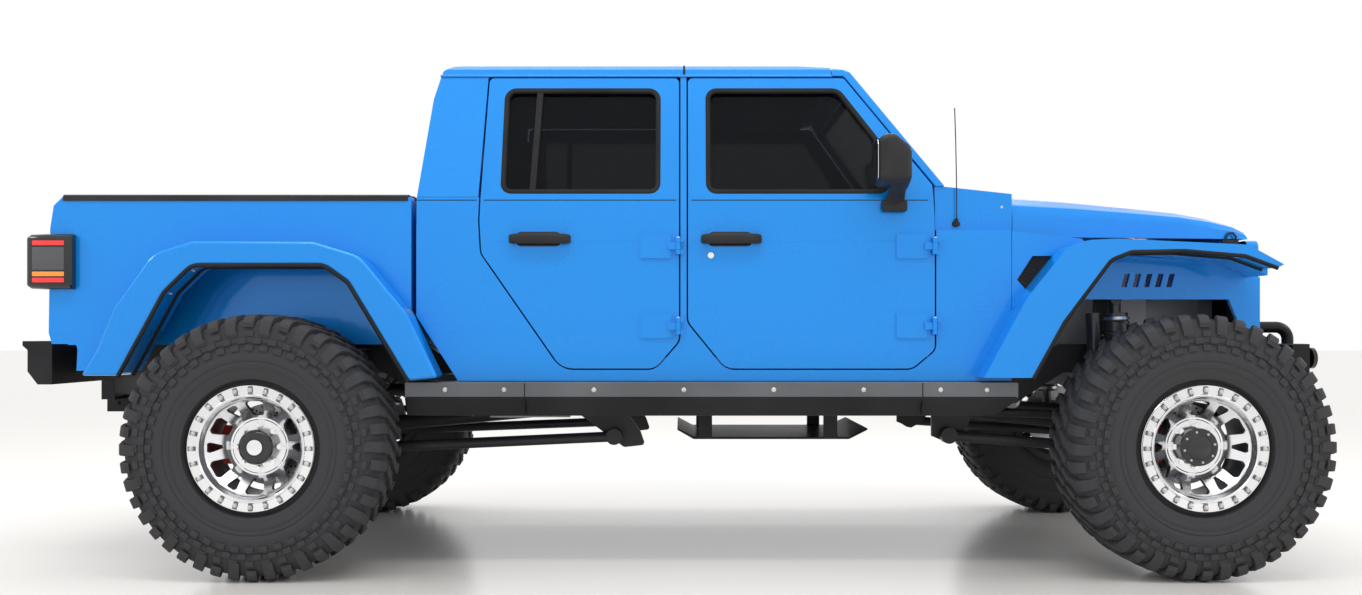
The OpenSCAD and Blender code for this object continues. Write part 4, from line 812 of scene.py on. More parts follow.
def coil_tree() -> bpy.types.NodeTree:
    """Tree that winds a coil spring about the local Z axis.

    Returns:
        The tree.
    """
    tree = Tree("coil_spring", Turns="Float", Height="Float", Radius="Float", Wire="Float", Finish="Material")
    spiral = tree.node("GeometryNodeCurveSpiral", Resolution=20, Rotations=tree.given("Turns"),
                       Start_Radius=tree.given("Radius"), End_Radius=tree.given("Radius"),
                       Height=tree.given("Height"))
    wire = tree.node("GeometryNodeCurvePrimitiveCircle", Resolution=8, Radius=tree.given("Wire"))
    swept = tree.node("GeometryNodeCurveToMesh", Curve=spiral.outputs["Curve"],
                      Profile_Curve=wire.outputs["Curve"], Fill_Caps=True)
    return tree.end(swept.outputs["Mesh"])


class Copies:
    """Makes plain meshes from the node trees."""

    def __init__(self) -> None:
        """Builds the trees once."""
        self.trees = {"ring": ring_tree(), "aimed": aimed_tree(), "row": row_tree(), "coil": coil_tree()}

    def run(self, tree: str, name: str, place: Matrix, host: bpy.types.Mesh | None = None,
            smooth: float = 30.0, **sizes: object) -> Piece:
        """Runs a tree and keeps its result as a plain mesh.

        Args:
            tree: Which tree.
            name: The piece's name.
            place: Where the result goes.
            host: The mesh that the tree starts from, where it reads one.
            smooth: Largest angle shaded smooth, in degrees.
            sizes: The tree's named inputs.

        Returns:
            The piece.
        """
        group = self.trees[tree]
        made = linked(name, host or bpy.data.meshes.new(name))
        modifier = made.modifiers.new(tree, "NODES")
        modifier.node_group = group
        keys = {s.name: s.identifier for s in group.interface.items_tree
                if s.item_type == "SOCKET" and s.in_out == "INPUT"}
        for key, value in sizes.items():
            modifier[keys[key]] = value.material() if isinstance(value, Finish) else value
        bpy.context.view_layer.update()
        plain = bpy.data.meshes.new_from_object(made.evaluated_get(bpy.context.evaluated_depsgraph_get()))
        made.modifiers.clear()
        made.data = plain
        plain.name = name
        plain.transform(place)
        plain.shade_smooth()
        plain.set_sharp_from_angle(angle=math.radians(smooth))
        return made

    def on_points(self, name: str, part: Piece, points: Sequence[tuple[Point, Point]], finish: Finish,
                  *where: str) -> Piece:
        """Sets a part on each point, along its aim, and sends the result to its body.

        Args:
            name: The piece's name.
            part: The part.
            points: Pairs of a point and its aim.
            finish: The finish.
            where: Its body and slot, where they aren't the chassis and its trim.

        Returns:
            The piece.
        """
        host = bpy.data.meshes.new(name + "_points")
        host.from_pydata([p for p, _ in points], [], [])
        aim = host.attributes.new("aim", "FLOAT_VECTOR", "POINT")
        for i, (_, direction) in enumerate(points):
            aim.data[i].vector = direction
        made = self.run("aimed", name, Matrix.Identity(4), host, Part=part, Size=1.0, Finish=finish)
        return ridden(made, *where)


class Stock:
    """Draws the small parts that the trees copy: bolts, nuts and lugs."""

    def keep(self, shape: Shape, **bake: float) -> Piece:
        """Bakes a part and takes it out of the scene, where only the trees see it.

        Args:
            shape: The part.
            bake: What Shape.bake takes.

        Returns:
            The part.
        """
        made = shape.bake(**bake)
        bpy.context.scene.collection.objects.unlink(made)
        return made

    def hex_bolt(self, name: str, across: float, high: float) -> Piece:
        """A hexagon head on a washer, with its foot at the origin.

        Args:
            name: The part's name.
            across: Width over the flats.
            high: Height of the head.

        Returns:
            The part.
        """
        shape = Shape(name)
        r = across / math.sqrt(3)
        shape.turned([(0, 0), (0, r * 1.25), (high * 0.22, r * 1.22), (high * 0.28, r * 1.12),
                      (high * 0.28, 0)],
                     ZINC, 18)
        rows = [(high * 0.27, r), (high * 0.9, r), (high, r * 0.86), (high, 0)]
        shape.turned([(high * 0.27, 0), *rows], ZINC, 6)
        return self.keep(shape, smooth=20)

    def cap_screw(self, name: str, r: float, high: float) -> Piece:
        """A round screw head with a hexagon socket, with its foot at the origin.

        Args:
            name: The part's name.
            r: Radius of the head.
            high: Height of the head.

        Returns:
            The part.
        """
        shape = Shape(name)
        shape.turned([(0, 0), (0, r), (high * 0.7, r), (high, r * 0.82), (high, r * 0.5),
                      (high * 0.45, r * 0.45),
                      (high * 0.45, 0)], ZINC, 12)
        return self.keep(shape, smooth=30)


# ------------------------------------------------------------------ shared measures

HALF_WIDTH = 0.8
BELT = 1.475
EAVE = 1.976
SILL = 0.748
AXLE_FRONT = 1.953
AXLE_REAR = -1.623
AXLE_HEIGHT = 0.504
CAB_SIDE = ((SILL, 0.0), (1.3, 0.0), (BELT, 0.008), (EAVE, 0.128))
DOOR_FRONT = ((0.017, 1.97, 0.02), (0.017, 0.982, 0.05), (0.167, 0.797, 0.07), (0.902, 0.797, 0.06),
              (0.992, 0.872, 0.04), (0.992, 1.395, 0.04), (0.9585, 1.525, 0.01), (0.6595, 1.97, 0.024))
DOOR_REAR = ((-0.785, 1.97, 0.02), (-0.808, 1.38, 0.01), (-0.8, 1.253, 0.05), (-0.483, 0.797, 0.09),
             (-0.114, 0.797, 0.06), (-0.019, 0.907, 0.05), (-0.019, 1.97, 0.02))
WINDOW_FRONT = ((0.102, 1.503, 0.028), (0.102, 1.913, 0.03), (0.62, 1.913, 0.045), (0.764, 1.714, 0.03),
                (0.81, 1.503, 0.03))
WINDOW_REAR = ((-0.713, 1.503, 0.028), (-0.708, 1.913, 0.034), (-0.107, 1.913, 0.034), (-0.107, 1.503, 0.028))


def side_depth(z: float) -> float:
    """How far from the middle the cab's side stands at height z."""
    if z <= CAB_SIDE[0][0]:
        return HALF_WIDTH
    for (za, a), (zb, b) in zip(CAB_SIDE, CAB_SIDE[1:]):
        if z <= zb:
            return HALF_WIDTH - a - (b - a) * (z - za) / (zb - za)
    return HALF_WIDTH - CAB_SIDE[-1][1]


def on_side(x: float, z: float, out: float, side: Side) -> Point:
    """Point on the cab's side at station x and height z, standing out from it."""
    return (x, side.value * (side_depth(z) + out), z)


def side_band(shape: Shape, rows: Sequence[Row], profile: Sequence[Flat], finish: Finish,
              side: Side, n: int = 6) -> Shape:
    """Adds a band along an outline on the cab's side.

    Args:
        shape: What it is added to.
        rows: The outline's rows.
        profile: The band's section, as (growth of the outline, height over the side).
        finish: Its finish.
        side: Which side.
        n: Number of steps round each corner.

    Returns:
        The shape.
    """
    rings = []
    for grow, out in profile:
        points = rounded(grown(rows, grow), n)
        rings.append([on_side(x, z, out, side) for x, z in points])
    return shape.loft(rings, finish, caps=False, closed=True)


# ------------------------------------------------------------------ wheels


@dataclass
class Wheel:
    """A beadlock wheel with its tyre. Local Z points outwards along the axle."""

    station: float
    end: str
    side: Side
    copies: Copies
    stock: Stock
    tread_radius: float = 0.504
    half_width: float = 0.1715
    track_half: float = 0.9035
    lug_pairs: int = 22
    ring_bolts: int = 24
    ring_out: float = 0.1555
    bolt_circle: float = 0.2197

    def place(self) -> Matrix:
        """The wheel's place.

        Returns:
            The place, with its Z axis outwards along the axle.
        """
        y = self.side.value * self.track_half
        x_axis = Vector((-self.side.value, 0, 0))
        turn = Matrix((x_axis, Vector((0, 0, 1)), Vector((0, self.side.value, 0)))).transposed().to_4x4()
        return Matrix.Translation((self.station, y, AXLE_HEIGHT)) @ turn

    def name(self, part: str) -> str:
        """The name of one of the wheel's pieces."""
        return f"{part}_{self.end}_{self.side.word}"

    def build(self) -> None:
        """Makes the tyre, the rim and what is bolted to it."""
        self._carcass()
        self._tread()
        self._rim()
        self._clamp()
        self._cap()
        self._hub()

    def _mounted(self, made: Piece, slot: str = "rim_alloy", *nodes: str) -> Piece:
        """Sends a piece to the wheel's body."""
        return ridden(made, self.name("wheel"), slot, *nodes)

    def _carcass(self) -> None:
        """Makes the casing with its sidewalls."""
        w, r = self.half_width, self.tread_radius
        inner, outer = -0.1115, self.ring_out - 0.0268
        wall = ((0.004, 0.300), (0.001, 0.322), (0.0035, 0.326), (0.0005, 0.331), (0.001, 0.352),
                (0.004, 0.372), (0.0075, 0.392), (0.0085, 0.396), (0.006, 0.399), (0.0065, 0.414),
                (0.010, 0.432), (0.015, 0.449), (0.023, 0.467), (0.036, 0.480), (0.060, 0.4865),
                (0.100, 0.489))
        half = [(w - d, q) for d, q in wall]
        rows = [(outer, 0.2185), (outer, 0.2515), (w - 0.013, 0.262), (w - 0.0075, 0.28), *half,
                (0.0, r - 0.0145)]
        rows += [(-z, q) for z, q in reversed(half)]
        rows += [(-w + 0.0075, 0.28), (-w + 0.02, 0.262), (inner - 0.004, 0.24), (inner, 0.2185),
                 (-w + 0.05, 0.245), (-w + 0.018, 0.32), (-w + 0.03, 0.42), (-w + 0.06, 0.462),
                 (w - 0.06, 0.462), (w - 0.03, 0.42), (w - 0.018, 0.32), (outer - 0.02, 0.245),
                 (outer - 0.017, 0.2185)]
        shape = Shape(self.name("tyre_carcass")).turned(rows, TYRE, 144, self.place())
        for z, q in ((w - 0.0098, 0.2755), (w - 0.003, 0.3045), (w - 0.0068, 0.387)):
            rib = [(z - 0.004, q - 0.003), (z + 0.001, q - 0.0018), (z + 0.001, q + 0.0018),
                   (z - 0.004, q + 0.003)]
            shape.turned(rib, TYRE, 144, self.place())
        self._mounted(shape.bake(smooth=38), "tyre_rubber", self.name("tyre"))

    def _lug(self, name: str, rows: Sequence[tuple[float, float, float, float]], top: float) -> Piece:
        """Draws a tread block that wraps over the shoulder.

        Args:
            name: The part's name.
            rows: Its rows of (distance from the middle, half length, offset along the tread, height).
            top: How much the block narrows towards its top.

        Returns:
            The part, drawn where the tread circle's first point is.
        """
        rings = []
        for z, half, slip, high in rows:
            base = high - 0.0185
            rings.append([(base, slip - half, z), (base, slip + half, z), (high, slip + half * top, z),
                          (high, slip - half * top, z)])
        shape = Shape(name).loft(rings, TYRE)
        return self.stock.keep(shape, smooth=30, width=0.0016, segments=1)

    def _tread(self) -> None:
        """Makes the shoulder lugs, the middle blocks and the side biters."""
        step = TURN / self.lug_pairs
        pitch = step * 0.5
        for sign, hand in ((1, "out"), (-1, "in")):
            long_lug = self._lug(f"long_lug_{hand}", [
                (sign * 0.078, 0.019, -0.014 * sign, 0.0), (sign * 0.112, 0.0215, -0.004 * sign, -0.0008),
                (sign * 0.142, 0.0225, 0.004 * sign, -0.0055), (sign * 0.1585, 0.022, 0.006 * sign, -0.017),
                (sign * 0.1668, 0.0205, 0.007 * sign, -0.036), (sign * 0.1708, 0.0185, 0.007 * sign, -0.058)],
                                 0.9)
            short_lug = self._lug(f"short_lug_{hand}", [
                (sign * 0.092, 0.0165, -0.006 * sign, 0.0), (sign * 0.118, 0.0205, 0.0, -0.001),
                (sign * 0.142, 0.0215, 0.004 * sign, -0.0055), (sign * 0.1575, 0.021, 0.005 * sign, -0.016),
                (sign * 0.1648, 0.0195, 0.006 * sign, -0.031)], 0.9)
            for i, lug in enumerate((long_lug, short_lug)):
                phase = (i + 0.5 * (sign < 0)) * pitch
                self._ring(f"{lug.name}s", lug, self.lug_pairs, self.tread_radius, phase)
            block = self._lug(f"block_{hand}", [
                (sign * 0.006, 0.013, -0.012 * sign, 0.0), (sign * 0.03, 0.0165, -0.002 * sign, 0.0003),
                (sign * 0.050, 0.0175, 0.012 * sign, 0.0), (sign * 0.070, 0.0115, 0.024 * sign, -0.0005)],
                              0.92)
            self._ring(f"{block.name}s", block, self.lug_pairs * 2, self.tread_radius,
                       (0.5 + 0.5 * (sign < 0)) * pitch)
        biter = Shape("biter").box((-0.0105, -0.0155, -0.006), (0.0105, 0.0155, 0.0062), TYRE, 0.002)
        part = self.stock.keep(biter, smooth=30)
        tip = self.half_width - 0.0125
        rows = ((0.4315, 0.003), (0.4045, 0.0062), (0.3775, 0.0088))
        for row, (radius, out) in enumerate(rows):
            self._ring(f"side_biters_{row}", part, self.lug_pairs * 2, radius, pitch * 0.5 * row, tip + out)

    def _ring(self, name: str, part: Piece, count: int, radius: float, phase: float = 0.0,
              out: float = 0.0, finish: Finish = TYRE) -> Piece:
        """Sends a part round the wheel.

        Args:
            name: The piece's name, without the wheel's.
            part: The part.
            count: How many.
            radius: Radius of their circle.
            phase: Turn of the first one, in radians.
            out: How far out along the axle the circle lies.
            finish: The finish of the copies.

        Returns:
            The piece.
        """
        place = self.place() @ Matrix.Translation((0, 0, out))
        made = self.copies.run("ring", self.name(name), place, Part=part, Count=count, Radius=radius,
                               Phase=phase, Finish=finish)
        return self._mounted(made, "tyre_rubber" if finish is TYRE else "rim_alloy")

    def _rim(self) -> None:
        """Makes the rim's face, its drum and disc, and the lips of its clamp ring."""

        def paint(centre: Vector, normal: Vector) -> Finish:
            """Tells disc, hub, bright face and dark barrel apart.

            Args:
                centre: The face's middle.
                normal: Its normal.

            Returns:
                The face's finish.
            """
            depth = abs(centre.y) - self.track_half
            radius = math.hypot(centre.x - self.station, centre.z - AXLE_HEIGHT)
            if radius < 0.1605 and -0.075 < depth < -0.049:
                return DISC
            if radius < 0.1 and depth < 0.021:
                return COATED
            outward = normal.y * self.side.value
            if depth > 0.128 or (depth > 0.0 and radius < 0.192 and outward > 0.15):
                return ALLOY
            return BARREL

        from_node(self.name("rim"), self.name("wheel"), "rim_alloy", 0.0016, paint)
        ring = Shape(self.name("clamp_ring"))
        out = self.ring_out
        inner_lip = [(out - 0.0005, 0.1955), (out + 0.003, 0.1985), (out + 0.0035, 0.203),
                     (out - 0.0005, 0.206)]
        outer_lip = [(out - 0.0005, 0.2335), (out + 0.0025, 0.2345), (out + 0.0025, 0.2372),
                     (out - 0.0005, 0.238)]
        for lip in (inner_lip, outer_lip):
            ring.turned(lip, ALLOY, 128, self.place())
        self._mounted(ring.bake(smooth=40))

    def _clamp(self) -> None:
        """Sets the clamp ring's pads and their bolts."""
        pocket = Shape("bolt_pocket").box((-0.0135, -0.0085, -0.001), (0.0135, 0.0085, 0.0042), MACHINED,
                                          0.0022)
        pocket.turned([(0.003, 0.0), (0.003, 0.0072), (0.0062, 0.0068), (0.0062, 0.0)], ALLOY, 12)
        bolt = self.stock.hex_bolt("ring_bolt", 0.0125, 0.009)
        for name, part, lift, finish in (("clamp_pads", self.stock.keep(pocket, smooth=35), 0.0, BARREL),
                                         ("clamp_bolts", bolt, 0.006, ZINC)):
            self._ring(name, part, self.ring_bolts, self.bolt_circle, out=self.ring_out + lift, finish=finish)

    def _cap(self) -> None:
        """Makes the hub cap: gloss black with screws in front, with a bright middle behind."""
        z = self.ring_out - 0.060
        cap = Shape(self.name("hub_cap"))
        if self.end == "front":
            rows = [(-0.010, 0.0), (-0.010, 0.070), (-0.004, 0.0725), (0.004, 0.071), (0.007, 0.066),
                    (0.008, 0.05), (0.006, 0.047), (0.009, 0.044), (0.012, 0.0)]
        else:
            rows = [(-0.010, 0.0), (-0.010, 0.0655), (0.0, 0.067), (0.010, 0.062), (0.016, 0.047),
                    (0.017, 0.034), (0.014, 0.0325), (0.014, 0.0)]
            bright = [(0.0135, 0.0), (0.0135, 0.031), (0.0175, 0.029), (0.020, 0.0)]
            cap.turned([(z + h, r) for h, r in bright], ALLOY, 48, self.place())
        cap.turned([(z + h, r) for h, r in rows], GLOSS_BLACK, 64, self.place())
        self._mounted(cap.bake(smooth=50))
        if self.end == "front":
            screw = self.stock.cap_screw("cap_screw", 0.0048, 0.004)
            self._ring("cap_screws", screw, 8, 0.0585, 0.2, z + 0.0065, ZINC)
        flange = Shape(self.name("centre_flange"))
        flange.turned([(0.0505, 0.100), (0.0555, 0.1045), (0.0555, 0.1085), (0.0505, 0.112)], CHROME, 96,
                      self.place())
        self._mounted(flange.bake(smooth=50))

    def _hub(self) -> None:
        """Sets the wheel nuts, and gloss-black dots painted on the brake disc as the shade in its drilled
        holes.
        """
        nut = self.stock.hex_bolt("wheel_nut", 0.021, 0.026)
        self._ring("wheel_nuts", nut, 8, 0.0825, out=0.052, finish=CHROME)
        # Painted shade: flat gloss-black dots on the disc's face stand for the dark inside its drilled holes;
        # the disc is not cut through.
        hole = Shape("disc_hole").turned([(0, 0), (0, 0.0042), (0.0008, 0.0042), (0.0008, 0)], GLOSS_BLACK,
                                         10)
        part = self.stock.keep(hole)
        for row, radius in enumerate((0.126, 0.137, 0.148)):
            self._ring(f"disc_holes_{row}", part, 24, radius, row * TURN / 72, -0.0512, GLOSS_BLACK)


# ------------------------------------------------------------------ body


@dataclass
class BodyShell:
    """The painted panels of cab, front end and bed."""

    panel_edge: float = 0.004
    flare_edge: float = 0.014
    tub_wall: float = 0.045
    door_wall: float = 0.055
    bed_floor: float = 0.925
    doors: tuple[str, ...] = ("front_door_right", "front_door_left", "rear_door_right", "rear_door_left")

    def build(self) -> None:
        """Makes each panel from its CAD node, with rolled edges."""
        panels = (("cab_tub", self.panel_edge, self._tub, 2), ("cowl", self.panel_edge, PAINT, 2),
                  ("windshield_frame", 0.006, PAINT, 2), ("hard_top", 0.007, self._roof, 2),
                  ("front_fenders", self.flare_edge, PAINT, 3), ("rear_flares", self.flare_edge, PAINT, 3),
                  ("grille", 0.003, self._grille, 2), ("bed", self.panel_edge, self._bed, 2))
        for name, width, paint, segments in panels:
            from_node(name, "chassis", "paint_blue", width, paint, segments)
        from_node("hood", "hood", "paint_blue", 0.005, PAINT)
        from_node("tailgate", "tailgate", "paint_blue", self.panel_edge,
                  lambda centre, normal: LINER if normal.x > 0.5 else PAINT)
        for name in self.doors:
            end, _, side = name.split("_")
            from_node(name, f"door_{end}_{side}", "paint_blue", self.panel_edge, self._door)

    def _tub(self, centre: Vector, normal: Vector) -> Finish:
        """Finish of the tub: paint outside, carpet on the floor and plastic above it.

        Args:
            centre: The face's middle.
            normal: Its normal.

        Returns:
            The finish.
        """
        inside = abs(centre.y) < side_depth(centre.z) - self.tub_wall and -1.05 < centre.x < 1.03
        if inside and normal.z > 0.5 and centre.z < 0.9:
            return CARPET
        return PLASTIC if inside and centre.z > 0.85 else PAINT

    def _door(self, centre: Vector, normal: Vector) -> Finish:
        """Finish of a door: paint outside and on its edges, plastic on its inner face.

        Args:
            centre: The face's middle.
            normal: Its normal.

        Returns:
            The finish.
        """
        if abs(centre.y) > side_depth(centre.z) + 0.002:
            return PAINT
        inner = abs(centre.y) < side_depth(centre.z) - self.door_wall
        return PLASTIC if inner and abs(normal.y) > 0.7 else PAINT

    def _bed(self, centre: Vector, normal: Vector) -> Finish:
        """Finish of the bed: paint outside, liner inside and black underneath.

        Args:
            centre: The face's middle.
            normal: Its normal.

        Returns:
            The finish.
        """
        over_floor = abs(centre.y) < 0.745 and -2.52 < centre.x < -1.112 and self.bed_floor < centre.z < 1.4745
        forward_wall = normal.x > -0.5 or centre.x > -2.4
        if over_floor and forward_wall and normal.y * centre.y < 0.3 and normal.z > -0.5:
            return LINER
        return COATED if centre.z < self.bed_floor and normal.z < -0.5 else PAINT

    def _grille(self, centre: Vector, normal: Vector) -> Finish:
        """Finish of the grille: gloss black behind its mouth, paint elsewhere."""
        in_mouth = abs(centre.y) < 0.2305 and 1.008 < centre.z < 1.272
        return GLOSS_BLACK if in_mouth and centre.x < 2.345 else PAINT

    def _roof(self, centre: Vector, normal: Vector) -> Finish:
        """Finish of the top: paint, with a plastic lining under the roof."""
        return PLASTIC if normal.z < -0.7 and centre.z > 1.95 and abs(centre.y) < 0.62 else PAINT


@dataclass
class Glazing:
    """The panes and their black frames."""

    frame_out: float = 0.003

    def build(self) -> None:
        """Dresses the panes and sets a seal round each side window."""
        for end, rows in (("front", WINDOW_FRONT), ("rear", WINDOW_REAR)):
            for side in Side:
                dress_node(f"{end}_glass_{side.word}", GLASS)
                body = f"door_{end}_{side.word}"
                seal = Shape(f"window_seal_{end}_{side.word}")
                lip = self.frame_out + 0.001
                profile = [(-0.006, -0.021), (-0.004, 0.001), (0.0, lip), (0.008, lip), (0.0145, 0.0),
                           (0.012, -0.004), (0.002, -0.006), (0.001, -0.021)]
                side_band(seal, rows, profile, SEAL, side)
                ridden(seal.bake(smooth=50), body)
                if end == "rear":
                    self._divider(side, body)
        dress_node("fixed_glass", SHIELD_GLASS)
        self._shield_seal()

    def _divider(self, side: Side, body: str) -> None:
        """Sets the upright bar between the rear door's two panes.

        Args:
            side: Which side.
            body: The door's body.
        """
        bar = Shape(f"window_divider_{side.word}")
        rings = []
        for z in (1.5, 1.6, 1.7, 1.8, 1.916):
            x = -0.600 + (z - 1.5) * 0.05
            rings.append([on_side(x - 0.014, z, -0.026, side), on_side(x - 0.012, z, 0.001, side),
                          on_side(x + 0.012, z, 0.001, side), on_side(x + 0.014, z, -0.026, side)])
        bar.loft(rings, SEAL)
        ridden(bar.bake(smooth=30, width=0.002), body)

    def _shield_seal(self) -> None:
        """Sets the black seal round the windshield."""
        low, high = BELT + 0.092, EAVE - 0.034
        narrow = HALF_WIDTH - 0.118 - 0.12 * 0.62
        rows = ((-HALF_WIDTH + 0.118, low, 0.04), (-narrow, high, 0.04), (narrow, high, 0.04),
                (HALF_WIDTH - 0.118, low, 0.04))
        foot, head = Vector((1.033, 1.525)), Vector((0.674, 1.998))
        along = (head - foot).normalized()
        rings = []
        for grow, out in ((-0.010, -0.009), (-0.008, 0.001), (0.004, 0.003), (0.012, 0.0005), (0.010, -0.004),
                          (0.002, -0.010)):
            ring = []
            for y, z in rounded(grown(rows, grow), 6):
                x = foot.x + along.x * (z - foot.y) / along.y
                ring.append((x + out * along.y, y, z - out * along.x))
            rings.append(ring)
        seal = Shape("windshield_seal").loft(rings, SEAL, caps=False, closed=True)
        ridden(seal.bake(smooth=50))


@dataclass
class BodyTrim:
    """Handles, hinges, seals, vents and the other small parts on the body's sides."""

    stock: Stock
    copies: Copies
    handles: tuple[tuple[str, float, float], ...] = (("front", 0.068, 0.308), ("rear", -0.691, -0.447))
    handle_z: float = 1.308

    def build(self) -> None:
        """Makes the trim of both sides."""
        for side in Side:
            for end, x0, x1 in self.handles:
                self._handle(end, x0, x1, side)
            self._seams(side)
            self._vent(side)
            self._latch(side)
            self._flare_edges(side)
        self._aerial()
        self._bolts()
        self._bed_caps()
        self._cowl_grille()

    def _handle(self, end: str, x0: float, x1: float, side: Side) -> None:
        """Makes a door handle, with its lock and a flat gloss-black sheet painted as the shade in its recess.

        Args:
            end: Front or rear door.
            x0: The handle's rear end.
            x1: Its front end.
            side: Which side.
        """
        s, z = side.value, self.handle_z
        body = f"door_{end}_{side.word}"
        face = side_depth(z)
        shape = Shape(f"handle_{end}_{side.word}")
        rings = []
        for t, out, half in ((0.0, 0.006, 0.012), (0.02, 0.024, 0.0165), (0.08, 0.037, 0.019),
                             (0.2, 0.041, 0.0205),
                             (0.5, 0.042, 0.021), (0.8, 0.041, 0.0205), (0.93, 0.036, 0.019),
                             (0.985, 0.022, 0.0165),
                             (1.0, 0.006, 0.012)):
            x = x0 + (x1 - x0) * t
            ring = []
            for k in range(12):
                turn = TURN * k / 12
                ring.append((x, s * (face + out - 0.007 + 0.0075 * math.cos(turn)),
                             z + half * math.sin(turn)))
            rings.append(ring)
        shape.loft(rings, PLASTIC)
        for x, half in ((x0 + 0.018, 0.016), (x1 - 0.022, 0.020)):
            shape.side_box((x - half, face - 0.001, z - 0.017), (x + half, face + 0.028, z + 0.017), PLASTIC,
                           side, 0.006)
        cup = [(x0 + 0.02, z - 0.034, 0.03), (x0 + 0.02, z + 0.034, 0.03), (x1 - 0.03, z + 0.034, 0.03),
               (x1 - 0.03, z - 0.034, 0.03)]
        side_band(shape, cup, [(0.0, -0.0008), (0.0, 0.0012), (-0.004, 0.0016), (-0.006, -0.0008)], PAINT,
                  side, 5)
        # Painted shade: a flat gloss-black sheet just off the door stands for the dark inside the handle's
        # recess.
        points = rounded(grown(cup, -0.005), 5)
        shape.add([on_side(x, q, 0.0005, side) for x, q in points], [list(range(len(points)))], GLOSS_BLACK)
        if end == "front":
            lock = towards(on_side(x0 + 0.039, z - 0.064, 0.0, side), (0, s, 0))
            shape.turned([(0, 0), (0, 0.013), (0.003, 0.0122), (0.0045, 0.009), (0.0035, 0.006), (0.0035, 0)],
                         CHROME, 24,
                         lock)
        ridden(shape.bake(smooth=45), body)

    def _seams(self, side: Side) -> None:
        """Lays the sealant lines: belt, roof split, drip rail.

        Args:
            side: Which side.
        """
        shape = Shape(f"roof_seals_{side.word}")
        s = side.value
        over = ((0.674, 1.9765), (0.6655, 2.0088), (0.6345, 2.0279), (0.4125, 2.0373), (0.0, 2.0405))
        for x in (0.0, 0.004):
            shape.tube([(x, s * y, z) for y, z in over], 0.0022, SEAL, 6)
        shape.tube([(x, s * 0.6745, 1.979) for x in (-0.985, -0.4, 0.1, 0.6)], 0.0055, PAINT, 8)
        ridden(shape.bake(smooth=50))
        belt = Shape(f"belt_seal_{side.word}")
        belt.tube([on_side(x, BELT - 0.012, -0.0006, side) for x in (-1.055, -0.95, -0.82)], 0.002, SEAL, 6)
        ridden(belt.bake(smooth=50))
        for end, x0, x1 in (("front", 0.03, 0.965), ("rear", -0.792, -0.03)):
            belt = Shape(f"belt_seal_{end}_{side.word}")
            belt.tube([on_side(x0 + (x1 - x0) * t, BELT - 0.012, -0.0006, side) for t in (0, 0.25, 0.5, 0.75,
                                                                                          1)],
                      0.002, SEAL, 6)
            belt.tube([on_side(x0 + (x1 - x0) * t, 1.3, -0.0006, side) for t in (0, 0.5, 1)], 0.0014, PAINT,
                      6)
            ridden(belt.bake(smooth=50), f"door_{end}_{side.word}")

    def _vent(self, side: Side) -> None:
        """Fills the vent behind the front wheel with mesh.

        Args:
            side: Which side.
        """
        s = side.value
        corners = ((1.378, 1.242), (1.455, 1.242), (1.357, 1.103), (1.317, 1.148))
        shape = Shape(f"fender_vent_{side.word}")
        y = s * (HALF_WIDTH - 0.016)
        outer = [(x, y, z) for x, z in corners]
        shape.add(outer, [[0, 1, 2, 3]], MESH)
        a, b, c, d = (Vector(p) for p in outer)
        for i in range(1, 9):
            t = i / 9
            lift = Vector((0, s * 0.003, 0))
            shape.tube([a.lerp(d, t) + lift, b.lerp(c, t) + lift], 0.0021, GLOSS_BLACK, 6)
            shape.tube([a.lerp(b, t) + lift * 2, d.lerp(c, t) + lift * 2], 0.0015, GLOSS_BLACK, 6)
        ridden(shape.bake(smooth=50))

    def _latch(self, side: Side) -> None:
        """Makes the hood's side catch.

        Args:
            side: Which side.
        """
        s, x, z = side.value, 2.235, 1.326
        half = 0.617
        shape = Shape(f"hood_latch_{side.word}")
        shape.side_box((x - 0.034, half, z - 0.026), (x + 0.034, half + 0.018, z - 0.008), PLASTIC, side,
                       0.005)
        shape.tube([(x - 0.022, s * (half + 0.014), z - 0.02), (x - 0.02, s * (half + 0.02), z + 0.004),
                    (x - 0.008, s * (half + 0.018), z + 0.02), (x + 0.008, s * (half + 0.018), z + 0.02),
                    (x + 0.02, s * (half + 0.02), z + 0.004), (x + 0.022, s * (half + 0.014), z - 0.02)],
                   0.0045, PLASTIC, 8)
        ridden(shape.bake(smooth=50))

    def _flare_edges(self, side: Side) -> None:
        """Lays the black rubber beading inside the flares.

        Args:
            side: Which side.
        """
        s = side.value
        under = [(-609, 0), (-490, 215), (-375, 368), (-310, 455), (-232, 486), (-30, 490), (205, 470),
                 (330, 424)]
        arch = [(-552, 8), (-376, 330), (-270, 434), (240, 434), (330, 370), (561, -12)]
        for name, x0, rows in (("front", AXLE_FRONT, under), ("rear", AXLE_REAR, arch)):
            outline = [(x0 + a / 1000, 0.765 + b / 1000, 0.06) for a, b in rows]
            points: list[Flat] = [outline[0][:2]]
            for i in range(1, len(outline) - 1):
                points += corner(outline[i - 1], outline[i], outline[i + 1], 0.06, 5)
            points.append(outline[-1][:2])
            shape = Shape(f"flare_beading_{name}_{side.word}")
            shape.tube([(x, s * (HALF_WIDTH + 0.1345), z - 0.002) for x, z in points], 0.0085, SEAL, 8)
            shape.tube([(x, s * (HALF_WIDTH + 0.002), z - 0.002) for x, z in points], 0.007, SEAL, 8)
            ridden(shape.bake(smooth=60))
            bolt = self.stock.cap_screw("flare_screw", 0.0075, 0.005)
            spots = [((x, s * (HALF_WIDTH + 0.07), z - 0.001), (0, 0, -1)) for x, z in points[3:-3:4]]
            self.copies.on_points(f"flare_screws_{name}_{side.word}", bolt, spots, ZINC)

